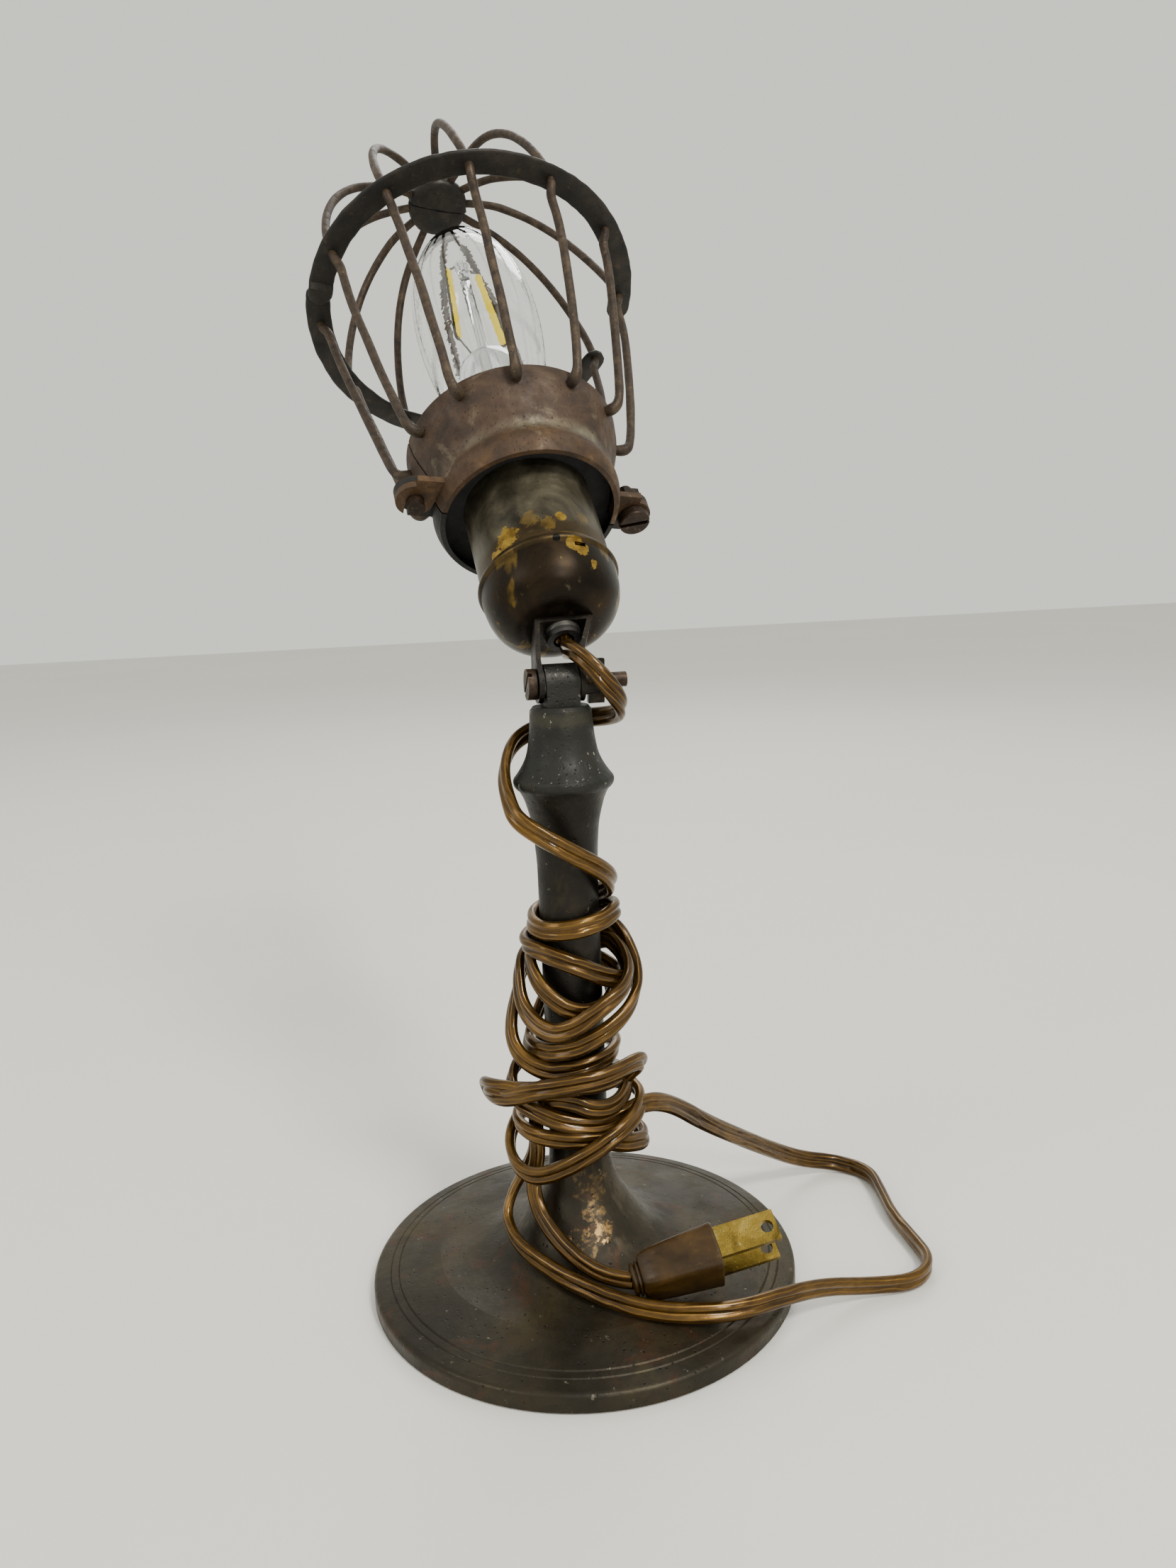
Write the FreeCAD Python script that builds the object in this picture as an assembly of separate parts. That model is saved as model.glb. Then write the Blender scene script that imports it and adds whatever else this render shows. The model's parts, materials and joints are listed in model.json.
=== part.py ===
import FreeCAD, Part
import math
import os
from FreeCAD import Vector, Placement, Rotation

# Caged tilting bench light on a weighted stand, in millimetres.
# Origin: centre of the base's underside. +Z up, +X along the tilt bolt towards
# the wing nut. The head leans back towards +Y in the rest pose.

# ---- driving dimensions: stand --------------------------------------------
BASE_R = 58.5            # radius of the cast foot
RIM_TOP = 5.2            # height of the foot's rim
UNDERSIDE = 0.5          # the casting's rim stands this far above the felt's face
FELT_T = 1.5
COLUMN_R = 8.0
SEAM_Z = 138.4           # the column ends here and the knuckle is screwed on
KNUCKLE_TOP = 160.0
PIVOT_Z = 165.8
TONGUE_HALF = 4.3        # half the tongue's thickness along the bolt
TONGUE_R = 5.0
ROD_R = 3.0
ROD_BORE = 3.6

# ---- driving dimensions: head ---------------------------------------------
LEAN_BACK = 42.0         # degrees, head axis from vertical, towards +Y
LEAN_SIDE = -2.5         # degrees, the yoke is a little crooked
HEAD_DX = 4.2            # head axis from the column's axis, along the bolt
STRIP_T = 1.3            # yoke strip
STRIP_HALF = 5.0         # half the strip's width
PLATE_S = 16.4           # underside of the yoke's plate, along the head axis
CAP_S = PLATE_S + STRIP_T
CAP_R = 19.0
BEAD_S = 33.6
SHELL_R = 18.2
SHELL_TOP = 73.0
SHEET_T = 0.7            # drawn brass sheet
LINER_T = 0.8
WALL_T = 1.4             # collar wall
COLLAR_LOW = 57.5
COLLAR_TOP = 84.6
COLLAR_R = 31.0
GUARD_TURN = 10.0        # degrees, the guard's split line round the head axis
SPLIT_GAP = 0.6
EAR_RHO = 32.6           # ear holes, from the head axis
EAR_R = 5.4
EAR_T = 2.0
EAR_S = 61.5             # lower face of the front half's ears
HOOP_R = 52.2            # the hoop is a flat ring across the head's axis
HOOP_W = 7.4
HOOP_LOW = 149.6
HOOP_T = 1.3
HOOP_RIGHT_FRONT = -4.5  # degrees, where the hoop's halves end beside the screw
HOOP_RIGHT_REAR = 12.0
LAP_PLAY = 0.15          # gap between the hoop's lapped ends
HUB_R = 10.0
HUB_LOW = 202.5
HUB_H = 6.0
HUB_DX = -2.6            # the guard's nose leans away from the screw
WIRE_R = 1.25
WIRE_HOLE_R = 1.3
WIRES_PER_HALF = 6

# ---- driving dimensions: bulb and cord ------------------------------------
BULB_TIP = 52.6          # the bulb's contact, along the head axis
BULB_CAP_R = 13.0
BULB_CAP_TOP = 79.0
THREAD_PITCH = 3.6
THREAD_DEPTH = 0.6
GLASS_T = 0.8
CORD_D = 5.2
WIND_BORE = 8.4
PLUG_START = Vector(5.4, -33.4, 16.4)
PLUG_PITCH = 11.0        # degrees, the plug's nose is up
PLUG_YAW = -4.0
PLUG_ROLL = 57.0         # degrees, the plug lies on its narrow side

X_AXIS, Y_AXIS, Z_AXIS = Vector(1, 0, 0), Vector(0, 1, 0), Vector(0, 0, 1)

LEAN = Rotation(X_AXIS, -LEAN_BACK)
HEAD = Placement(Vector(HEAD_DX, 0, PIVOT_Z), LEAN.multiply(Rotation(Y_AXIS, LEAN_SIDE)))
YOKE = Placement(Vector(0, 0, PIVOT_Z), LEAN)
GUARD = HEAD.multiply(Placement(Vector(), Rotation(Z_AXIS, GUARD_TURN)))

# ---- the cord's route, chosen by hand --------------------------------------
NECK = [(3.6, 9.0, 175.8), (3.7, 6.8, 173.4), (2.4, 1.4, 174.3), (3.2, -4.8, 174.2),
        (7.2, -9.0, 169.8), (11.8, -9.8, 163.9), (15.4, -5.6, 158.6), (14.4, 2.2, 156.2),
        (8.9, 8.9, 155.2), (0.0, 12.7, 153.8), (-9.2, 10.0, 151.6), (-14.4, 5.4, 147.6),
        (-17.6, 1.2, 142.4), (-17.4, -3.6, 137.2), (-14.6, -8.4, 132.9),
        (-9.8, -11.9, 129.3), (-3.5, -13.4, 125.3), (3.2, -13.0, 120.9),
        (9.4, -9.8, 116.7), (12.9, -3.4, 112.9), (12.0, 4.4, 110.4), (6.6, 10.4, 108.4),
        (-0.6, 12.0, 104.8)]
TABLE_LOOP = [(13.2, -10.6, 52.0), (20.0, -7.0, 51.2), (28.0, -1.2, 45.6), (38.0, 6.0, 36.0),
              (49.5, 13.4, 26.6), (62.5, 21.4, 16.4), (77.0, 28.6, 6.4), (90.0, 29.6, 2.7),
              (97.6, 20.6, 2.8), (95.6, 8.4, 2.7), (92.6, -4.6, 2.7), (92.2, -17.4, 2.7),
              (91.6, -28.6, 2.7), (83.6, -35.8, 2.7), (70.0, -34.8, 3.4), (56.0, -37.4, 7.6),
              (43.0, -42.2, 10.6), (30.2, -44.5, 10.4), (19.0, -43.4, 10.9),
              (8.0, -39.8, 11.6), (-1.0, -33.8, 12.6), (-8.6, -27.0, 14.2),
              (-15.6, -18.8, 16.2), (-20.6, -10.8, 18.0), (-22.0, -3.4, 22.0),
              (-19.6, -0.6, 27.0), (-16.4, 0.6, 31.4), (-13.2, 1.0, 36.6)]
TAIL = [(-12.4, -3.2, 37.8), (-14.6, -5.2, 31.6), (-14.0, -9.6, 25.6), (-10.8, -16.2, 20.8),
        (-5.8, -23.8, 17.4), (0.2, -30.2, 15.9), (5.4, -33.4, 16.4)]


# ---- helpers ----------------------------------------------------------------
def lathe(profile):
    """Solid of revolution round Z from (r, z) corners; a list inside is a curve's points."""
    edges, last = [], None
    first = profile[0]
    for item in profile[1:] + [first]:
        start = last if last is not None else first
        if isinstance(item, list):
            points = [Vector(r, 0, z) for r, z in [start] + item]
            curve = Part.BSplineCurve()
            curve.interpolate(points)
            edges.append(curve.toShape())
            last = item[-1]
        else:
            if start != item:
                edges.append(Part.makeLine(Vector(start[0], 0, start[1]),
                                           Vector(item[0], 0, item[1])))
            last = item
    face = Part.Face(Part.Wire(edges))
    return face.revolve(Vector(), Z_AXIS, 360)


def ring(r_out, r_in, z_low, z_high):
    body = Part.makeCylinder(r_out, z_high - z_low, Vector(0, 0, z_low))
    if r_in > 0:
        body = body.cut(Part.makeCylinder(r_in, z_high - z_low, Vector(0, 0, z_low)))
    return body


def prism(sides, across_flats, height, base):
    radius = across_flats / 2 / math.cos(math.pi / sides)
    corners = [Vector(radius * math.cos(2 * math.pi * i / sides),
                      radius * math.sin(2 * math.pi * i / sides), 0) for i in range(sides)]
    shape = Part.Face(Part.makePolygon(corners + corners[:1])).extrude(Vector(0, 0, height))
    shape.translate(base)
    return shape


def placed(shape, placement):
    """Rigidly placed copy of the shape."""
    return shape.transformed(placement.toMatrix(), True)


def tangent_path(points, radii=None):
    """Straight runs joined by tangent arcs. radii defaults to the largest that fits."""
    points = [Vector(*p) for p in points]
    edges, arc_radii, start = [], [], points[0]
    for i in range(1, len(points) - 1):
        before, corner, after = points[i - 1], points[i], points[i + 1]
        run_in, run_out = corner - before, after - corner
        half_turn = run_in.getAngle(run_out) / 2
        radius = 0.45 * min(run_in.Length, run_out.Length) / math.tan(half_turn)
        if radii is not None:
            radius = min(radius, radii[i - 1])
        cut = radius * math.tan(half_turn)
        dir_in, dir_out = run_in / run_in.Length, run_out / run_out.Length
        arc_start, arc_end = corner - dir_in * cut, corner + dir_out * cut
        inward = dir_out - dir_in
        inward.normalize()
        middle = corner + inward * (radius / math.cos(half_turn) - radius)
        if (arc_start - start).Length > 1e-6:
            edges.append(Part.LineSegment(start, arc_start).toShape())
        edges.append(Part.Arc(arc_start, middle, arc_end).toShape())
        arc_radii.append(radius)
        start = arc_end
    edges.append(Part.LineSegment(start, points[-1]).toShape())
    return Part.Wire(edges), arc_radii


def tube(points, radius, radii=None, label=None):
    path, arc_radii = tangent_path(points, radii)
    direction = Vector(*points[1]) - Vector(*points[0])
    section = Part.Wire(Part.makeCircle(radius, Vector(*points[0]), direction))
    solid = path.makePipeShell([section], True, False)
    if label:
        expected = math.pi * radius ** 2 * path.Length
        print(f"{label}: length {path.Length:.1f}, volume ratio {solid.Volume / expected:.4f},"
              " arc radii", " ".join(f"{r:.1f}" for r in arc_radii))
    return solid


def export(name, shape):
    shape.exportStep(f"parts/{name}.step")
    solids = len(shape.Solids)
    print(f"{name}: {solids} solid(s), valid {shape.isValid()}, volume {shape.Volume:.0f}")


def group(shapes):
    return shapes[0] if len(shapes) == 1 else Part.makeCompound(shapes)


# ---- stand -----------------------------------------------------------------
def base_casting():
    """Foot, trumpet flare and column in one casting, bored for the tie rod."""
    outline = [(BASE_R, UNDERSIDE), (BASE_R, 3.6), [(58.2, 4.6), (57.2, RIM_TOP)]]
    for groove_r, z in ((53.8, 6.0), (51.6, 6.45)):
        outline += [(groove_r + 0.3, z - 0.06), (groove_r, z - 0.25), (groove_r - 0.3, z + 0.06)]
    outline += [(40.0, 8.8), [(33.5, 9.6), (25.9, 11.5), (19.2, 15.3), (14.4, 21.1),
                              (10.4, 27.5), (8.5, 36.4), (COLUMN_R, 48.0)]]
    outline += [(COLUMN_R, 118.0), [(8.5, 125.5), (9.1, 130.3), (9.9, 133.6),
                                    (10.8, 136.4), (11.9, SEAM_Z)]]
    outline += [(ROD_BORE, SEAM_Z), (ROD_BORE, 6.9), (22.0, 6.9), (33.0, 6.3),
                (54.5, 3.0), (54.5, UNDERSIDE)]
    return lathe(outline)


def base_weight():
    return lathe([(54.3, FELT_T), (54.3, 2.9), (33.0, 6.15), (22.0, 6.7), (9.5, 6.7), (9.5, FELT_T)])


def base_felt():
    return ring(54.4, 0, 0, FELT_T)


def tie_rod():
    rod = Part.makeCylinder(ROD_R, 152.8, Vector(0, 0, 2.2))
    return rod.makeChamfer(0.5, [e for e in rod.Edges if e.Length < 7 * ROD_R][:2])


def tie_washer():
    return ring(8.5, ROD_R + 0.2, 5.6, 6.9)


def tie_nut():
    return prism(6, 10.0, 3.8, Vector(0, 0, 1.8)).cut(ring(ROD_R, 0, 0, 9))


def knuckle():
    """Conical top of the stand, with the tongue that the yoke straddles."""
    cone = lathe([(ROD_R, SEAM_Z), (11.9, SEAM_Z), [(12.9, 139.4), (13.2, 140.6), (12.6, 141.9)],
                  [(11.0, 144.2), (9.7, 146.8), (8.9, 150.0), (8.2, 156.0), (8.0, 159.0)],
                  (7.2, KNUCKLE_TOP), (2.0, KNUCKLE_TOP), (2.0, 155.0), (ROD_R, 155.0)])
    low = KNUCKLE_TOP - 1.0
    tongue = Part.makeBox(2 * TONGUE_HALF, 2 * TONGUE_R, PIVOT_Z - low,
                          Vector(-TONGUE_HALF, -TONGUE_R, low))
    top = Part.makeCylinder(TONGUE_R, 2 * TONGUE_HALF, Vector(-TONGUE_HALF, 0, PIVOT_Z), X_AXIS)
    bore = Part.makeCylinder(2.0, 30, Vector(-15, 0, PIVOT_Z), X_AXIS)
    filled = cone.fuse(tongue).fuse(top)
    pocket = ring(ROD_R, 0, SEAM_Z, 155.0)
    return filled.cut(bore).cut(pocket).removeSplitter()


# ---- yoke and tilt bolt ------------------------------------------------------
EYE_X = 5.4              # eye plates, mid thickness, each side of the column's axis
BOLT_R = 2.0
LEG_HOLE_R = 2.06
NUT_X = 6.15
HALF_PLATE = 7.1
WASHER_R = 3.9


def yoke():
    """Bent strip: two eyes on the tilt bolt, two slanting legs and a plate under the cap."""
    side, mid_s = math.radians(LEAN_SIDE), PLATE_S + STRIP_T / 2
    centre = (HEAD_DX + mid_s * math.sin(side), mid_s * math.cos(side))
    reach = (HALF_PLATE * math.cos(side), -HALF_PLATE * math.sin(side))
    left = (centre[0] - reach[0], centre[1] - reach[1])
    right = (centre[0] + reach[0], centre[1] + reach[1])
    middle = [(-EYE_X, -TONGUE_R), (-EYE_X, 4.0), left, right, (EYE_X, 4.0), (EYE_X, -TONGUE_R)]
    path = Part.makePolygon([Vector(x, 0, z) for x, z in middle])
    outer = path.makeOffset2D(STRIP_T / 2, 2, False, True)
    inner = path.makeOffset2D(-STRIP_T / 2, 2, False, True)
    ends = [Part.makeLine(outer.OrderedVertexes[i].Point, inner.OrderedVertexes[i].Point)
            for i in (0, -1)]
    face = Part.Face(Part.Wire(Part.__sortEdges__(outer.Edges + inner.Edges + ends)))
    strip = face.extrude(Vector(0, 2 * STRIP_HALF, 0))
    strip.translate(Vector(0, -STRIP_HALF, 0))
    keep = Part.makeBox(60, 2 * STRIP_HALF, 60, Vector(-30, -STRIP_HALF, 0)).fuse(
        Part.makeCylinder(TONGUE_R, 60, Vector(-30, 0, 0), X_AXIS))
    strip = strip.common(keep).cut(Part.makeCylinder(LEG_HOLE_R, 60, Vector(-30, 0, 0), X_AXIS))
    tilted = Placement(Vector(HEAD_DX, 0, 0), Rotation(Y_AXIS, LEAN_SIDE))
    nipple_hole = placed(Part.makeCylinder(NIPPLE_R, 12, Vector(0, 0, 10)), tilted)
    return placed(strip.cut(nipple_hole), YOKE)


def pivot_bolt():
    head_x = -EYE_X - STRIP_T / 2
    head = Part.makeCylinder(4.0, 2.6, Vector(head_x - 2.6, 0, 0), X_AXIS)
    head = head.makeFillet(0.5, [head.Edges[0]])
    slot = Part.makeBox(1.2, 10, 1.0, Vector(head_x - 2.7, -5, -0.5))
    shank = Part.makeCylinder(BOLT_R, 17.6 - head_x, Vector(head_x, 0, 0), X_AXIS)
    bolt = head.cut(slot).fuse(shank)
    return placed(bolt, YOKE)


def friction_washers():
    inner = EYE_X - STRIP_T / 2
    thickness = inner - TONGUE_HALF
    discs = []
    for side in (-1, 1):
        low = inner - thickness if side > 0 else -inner
        disc = Part.makeCylinder(WASHER_R, thickness, Vector(low, 0, 0), X_AXIS)
        discs.append(disc.cut(Part.makeCylinder(LEG_HOLE_R, 30, Vector(-15, 0, 0), X_AXIS)))
    return placed(group(discs), YOKE)


def wing_nut():
    """Two-winged nut on the bolt's +X end, wings up and down in the rest pose."""
    hub = Part.makeCone(3.6, 3.0, 4.6, Vector(NUT_X, 0, 0), X_AXIS)
    wing = Part.makeBox(4.2, 2.0, 11.6, Vector(NUT_X + 1.4, -1.0, -5.8))
    rounded = Part.makeCylinder(5.8, 8, Vector(NUT_X, 0, 0), X_AXIS)
    nut = hub.fuse(wing.common(rounded))
    bore = Part.makeCylinder(BOLT_R + 0.05, 30, Vector(0, 0, 0), X_AXIS)
    placement = Placement(Vector(0, 0, PIVOT_Z), Rotation(X_AXIS, 8))
    return placed(nut.cut(bore), placement)


# ---- lampholder ----------------------------------------------------------------
NIPPLE_R = 4.9
BUSH_HOLE_R = 2.8


def cord_bushing():
    """Insulating bush through the nipple; the cord leaves through its bore."""
    return lathe([(BUSH_HOLE_R, 13.5), (4.5, 13.5), (4.8, 14.2), (4.8, 15.0), (3.6, 15.0),
                  (3.6, 23.4), (BUSH_HOLE_R, 23.4)])


def cap_nipple():
    return ring(NIPPLE_R, 3.6, 15.0, 22.6)


def nipple_nut():
    nut = prism(6, 13.0, 2.0, Vector(0, 0, CAP_S + SHEET_T))
    return nut.cut(ring(NIPPLE_R, 0, 0, 40))


def cap_outer(offset=0.0):
    """Curve of the cap's dome, offset inwards."""
    return [(14.2 - offset, CAP_S + 1.5 + offset), (17.2 - offset, CAP_S + 5.2 + offset * 0.7),
            (18.5 - offset, CAP_S + 9.8), (CAP_R - offset - 0.2, BEAD_S - 1.8)]


def socket_cap():
    """Domed cap with a rolled bead, held to the yoke by the nipple."""
    t = SHEET_T
    cap = lathe([(NIPPLE_R, CAP_S), (9.0, CAP_S), cap_outer(),
                 [(CAP_R + 0.5, BEAD_S - 0.9), (CAP_R + 0.2, BEAD_S)], (CAP_R, BEAD_S + 0.6),
                 (SHELL_R, BEAD_S + 0.6), (SHELL_R, BEAD_S - 2.4),
                 list(reversed(cap_outer(t)))[1:] + [(8.4, CAP_S + t)], (NIPPLE_R, CAP_S + t)])
    notch = Part.makeBox(4.0, 3.2, 1.3, Vector(CAP_R - 2.5, -1.6, BEAD_S - 3.6))
    notch.rotate(Vector(), Z_AXIS, -72)
    return cap.cut(notch)


def cap_liner():
    inner = SHELL_R - 1.6
    return lathe([(7.8, 20.9), (12.4, 21.4), (15.2, 24.2), (inner, 28.6), (inner, 33.0),
                  (inner - LINER_T, 33.0), (inner - LINER_T, 28.8), (14.6, 24.8), (12.1, 22.2),
                  (7.8, 21.7)])


def socket_shell():
    """Drawn shell, plain sleeve with a rolled mouth; its skirt snaps inside the cap."""
    outer = SHELL_R
    return lathe([(outer, BEAD_S - 2.4), (outer, SHELL_TOP - 1.0), (outer + 0.5, SHELL_TOP - 0.5),
                  (outer, SHELL_TOP), (outer - SHEET_T, SHELL_TOP),
                  (outer - SHEET_T, BEAD_S - 2.4)])


def shell_liner():
    outer = SHELL_R - SHEET_T
    return ring(outer, outer - LINER_T, BEAD_S + 0.4, SHELL_TOP - 1.5)


def socket_body():
    """Porcelain interior: disc with two terminal pockets and a well for the centre contact."""
    body = ring(15.2, 0, 36.0, 49.6).fuse(ring(10.0, 0, 33.0, 36.0))
    for side in (-1, 1):
        pocket = Part.makeBox(6.0, 9.0, 10.0, Vector(side * 13.0 - 3.0, -4.5, 36.0))
        body = body.cut(pocket)
    body = body.cut(Part.makeCylinder(1.4, 20, Vector(0, 0, 32)))
    return body.cut(ring(5.0, 0, 48.6, 49.6))


def centre_contact():
    stem = Part.makeCylinder(1.4, 14.6, Vector(0, 0, 34.0))
    return stem.fuse(ring(5.0, 0, 48.6, 49.4)).fuse(
        lathe([(0, 49.4), (4.0, 49.4), [(2.6, 51.2), (0, 52.0)]]))


def terminal_screws():
    screws = []
    for side in (-1, 1):
        shank = Part.makeCylinder(1.5, 4.0, Vector(side * 10.0, 0, 42.0), Vector(side, 0, 0))
        head = Part.makeCylinder(2.8, 1.6, Vector(side * 12.4, 0, 42.0), Vector(side, 0, 0))
        slot = Part.makeBox(1.0, 8, 0.8, Vector(side * 13.5 - 0.5, -4, 41.6))
        screws.append(shank.fuse(head).cut(slot))
    return group(screws)


def cord_leads():
    """The cord's two conductors, split inside the cap, one to each terminal."""
    leads = []
    for side in (-1, 1):
        route = [(side * 1.2, 0, 13.5), (side * 1.2, 0, 27.0), (side * 13.0, 0, 31.0),
                 (side * 13.0, 0, 39.1)]
        leads.append(tube(route, 1.0, [3.0, 3.0]))
    return group(leads)


def threaded_outline(radius, low, high, top_down=False):
    """Corners of a rolled lamp thread, as (r, z) from low to high."""
    steps = max(2, round((high - low) / (THREAD_PITCH / 4)))
    corners = []
    for i in range(steps + 1):
        z = low + (high - low) * i / steps
        swing = 0.5 - 0.5 * math.cos(2 * math.pi * (z - BULB_TIP) / THREAD_PITCH)
        corners.append((radius - THREAD_DEPTH * swing, z))
    return list(reversed(corners)) if top_down else corners


def screw_shell():
    """Rolled brass screw shell standing on the porcelain."""
    inner = BULB_CAP_R + 0.08
    outer = inner + 0.45
    return lathe([(11.0, 49.6), (outer, 49.6)] + threaded_outline(outer, 55.0, 71.5)
                 + threaded_outline(inner, 55.0, 71.5, True) + [(inner, 50.1), (11.0, 50.1)])


# ---- bulb -------------------------------------------------------------------------
def bulb_cap():
    body = [(9.0, 56.2), (9.6, 55.8)] + threaded_outline(BULB_CAP_R, 57.0, 75.0)
    skirt = [(13.3, 76.4), (13.3, BULB_CAP_TOP), (12.8, BULB_CAP_TOP), (12.8, 76.2)]
    inside = threaded_outline(BULB_CAP_R - 0.4, 57.6, 75.0, True) + [(9.0, 57.4)]
    return lathe(body + skirt + inside)


def bulb_insulator():
    return lathe([(2.4, 53.4), (5.0, 53.8), (8.0, 55.4), (9.0, 56.2), (9.0, 57.4), (2.4, 57.4)])


def bulb_eyelet():
    return lathe([(0, BULB_TIP), [(2.2, 52.9), (3.4, 53.5)], (2.4, 53.4), (2.4, 57.4), (0, 57.4)])


GLASS = [(12.4, 84.0), (12.6, 92.0), (14.2, 102.0), (16.8, 114.0), (18.8, 127.0),
         (19.6, 140.0), (19.0, 153.0), (16.7, 165.0), (12.6, 175.0), (7.4, 182.0),
         (3.4, 185.2), (0.0, 186.2)]


def bulb_glass():
    """Blown envelope; the outer and inner curves share their heights."""
    inside = [(max(r - GLASS_T, 0), z - (GLASS_T if r < 17 and z > 170 else 0)) for r, z in GLASS]
    return lathe([(12.8, 76.6), (12.8, BULB_CAP_TOP), GLASS, inside[-1],
                  list(reversed(inside))[1:], (12.4 - GLASS_T, 76.6)])


def bulb_stem():
    """Hollow glass flare, and the stem on it that carries the filaments."""
    return lathe([(10.9, 78.5), (12.4 - GLASS_T, 78.5), (12.4 - GLASS_T, 79.3),
                  [(10.9, 86.0), (10.3, 98.0), (9.4, 107.0), (6.4, 112.5), (3.2, 116.0),
                   (2.0, 119.0)],
                  (1.6, 122.0), (1.6, 168.0), [(2.6, 171.0), (1.8, 173.0), (0, 173.6)],
                  (0, 114.8), [(2.8, 113.8), (5.6, 111.4), (8.5, 106.4), (9.4, 98.0),
                               (10.0, 86.0)], (10.3, 80.0)])


FILAMENT_LOW, FILAMENT_HIGH = 134.0, 168.5
FILAMENT_RHO, FILAMENT_LEAN = 7.6, -2.4
FILAMENT_ANGLES = [math.radians(a) for a in (12.0, 192.0)]


def bulb_filaments():
    strips = []
    for angle in FILAMENT_ANGLES:
        low = Vector(FILAMENT_RHO * math.cos(angle), FILAMENT_RHO * math.sin(angle), FILAMENT_LOW)
        top = FILAMENT_RHO + FILAMENT_LEAN
        high = Vector(top * math.cos(angle), top * math.sin(angle), FILAMENT_HIGH)
        strips.append(Part.makeCylinder(0.9, (high - low).Length, low, high - low))
    return group(strips)


def bulb_leads():
    """Support wires from the stem to each filament's ends."""
    wires, stem, filaments = [], bulb_stem(), bulb_filaments()
    for angle in FILAMENT_ANGLES:
        for z, start, reach in ((FILAMENT_LOW, 121.0, FILAMENT_RHO),
                                (FILAMENT_HIGH, 171.0, FILAMENT_RHO + FILAMENT_LEAN)):
            inner = Vector(1.9 * math.cos(angle), 1.9 * math.sin(angle), start)
            outer = Vector(reach * math.cos(angle), reach * math.sin(angle), z)
            wire = Part.makeCylinder(0.3, (outer - inner).Length, inner, outer - inner)
            wires.append(wire.cut(stem).cut(filaments))
    return group(wires)


# ---- guard ----------------------------------------------------------------------------
PEG_R = 2.4
PEG_PLAY = 0.1
SCREW_R = 2.2
SCREW_HOLE_R = 2.28      # the front half swings on the screw


def half_space(front):
    """Box that keeps the front (-Y) or rear (+Y) half, less half the split gap."""
    if front:
        return Part.makeBox(200, 100, 260, Vector(-100, -100 - SPLIT_GAP / 2, 0))
    return Part.makeBox(200, 100, 260, Vector(-100, SPLIT_GAP / 2, 0))


def wire_angles(front):
    side = -1 if front else 1
    step = 180.0 / WIRES_PER_HALF
    return [side * (step / 2 + step * i) for i in range(WIRES_PER_HALF)]


HUB_MID = HUB_LOW + HUB_H / 2
WIRE_RHO = HOOP_R - 4.0          # where the wires pass through the hoop
WIRE_ROUTE = [(27.4, 86.8), (27.4, 80.6), (34.2, 79.6), (WIRE_RHO - 2.0, HOOP_LOW - 6.0),
              (WIRE_RHO, HOOP_LOW - 2.0), (WIRE_RHO, 162.0), (42.6, 178.0), (35.4, 191.0),
              (23.0, 201.8), (8.2, HUB_MID)]
WIRE_LEAN_S = 162.0
WIRE_BENDS = [2.2, 2.4, 2.6, 2.6, 16.0, 26.0, 24.0, 20.0]


def guard_wire(angle, radius):
    """One wire; beyond the hoop it leans over with the hub."""
    turn, route = math.radians(angle), []
    for rho, s in WIRE_ROUTE:
        lean = HUB_DX * max(0.0, (s - WIRE_LEAN_S) / (HUB_MID - WIRE_LEAN_S))
        route.append((rho * math.cos(turn) + lean, rho * math.sin(turn), s))
    return tube(route, radius, WIRE_BENDS)


def guard_wires(front):
    return placed(group([guard_wire(a, WIRE_R) for a in wire_angles(front)]), GUARD)


def wire_cutters(front):
    return group([guard_wire(a, WIRE_HOLE_R) for a in wire_angles(front)])


def collar_profile():
    """Bell-shaped collar wall: flange, waist groove and flared rim."""
    outer = [(26.6, 60.0), (26.9, 63.0), (26.0, 66.6), (27.0, 70.4), (28.8, 75.0), (30.4, 80.0)]
    inner = [(r - WALL_T, z) for r, z in reversed(outer)]
    return lathe([(25.6, COLLAR_LOW), outer, (COLLAR_R, COLLAR_TOP),
                  (COLLAR_R - WALL_T, COLLAR_TOP), inner, (25.6 - WALL_T, COLLAR_LOW)])


def ear(side, front):
    """Flat lug round one ear hole; front lugs lie under the rear ones."""
    low = EAR_S if front else EAR_S + EAR_T + 0.1
    centre = Vector(side * EAR_RHO, 0, low)
    disc = Part.makeCylinder(EAR_R, EAR_T, centre)
    inward = -1 if front else 1
    web = Part.makeBox(9.0, 7.5, EAR_T, Vector(side * 28.5 - 4.5, 0 if inward > 0 else -7.5, low))
    lug = disc.fuse(web)
    return lug.cut(Part.makeCylinder(26.0, 20, Vector(0, 0, EAR_S - 5)))


def collar(front):
    """Half of the clamp collar with two lugs; the front half's left lug is an open slot."""
    body = collar_profile().common(half_space(front))
    for side in (-1, 1):
        body = body.fuse(ear(side, front))
    peg_hole = PEG_R + (PEG_PLAY if front else 0)
    body = body.cut(Part.makeCylinder(peg_hole, 20, Vector(-EAR_RHO, 0, EAR_S - 5)))
    body = body.cut(Part.makeCylinder(SCREW_HOLE_R, 20, Vector(EAR_RHO, 0, EAR_S - 5)))
    if front:
        slot = ring(2 * EAR_RHO + peg_hole, 2 * EAR_RHO - peg_hole, 0, 20)
        slot.translate(Vector(EAR_RHO, 0, EAR_S - 5))
        body = body.cut(slot.common(Part.makeBox(200, 100, 260, Vector(-100, 0, 0))))
    return placed(body.cut(wire_cutters(front)), GUARD)


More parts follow.
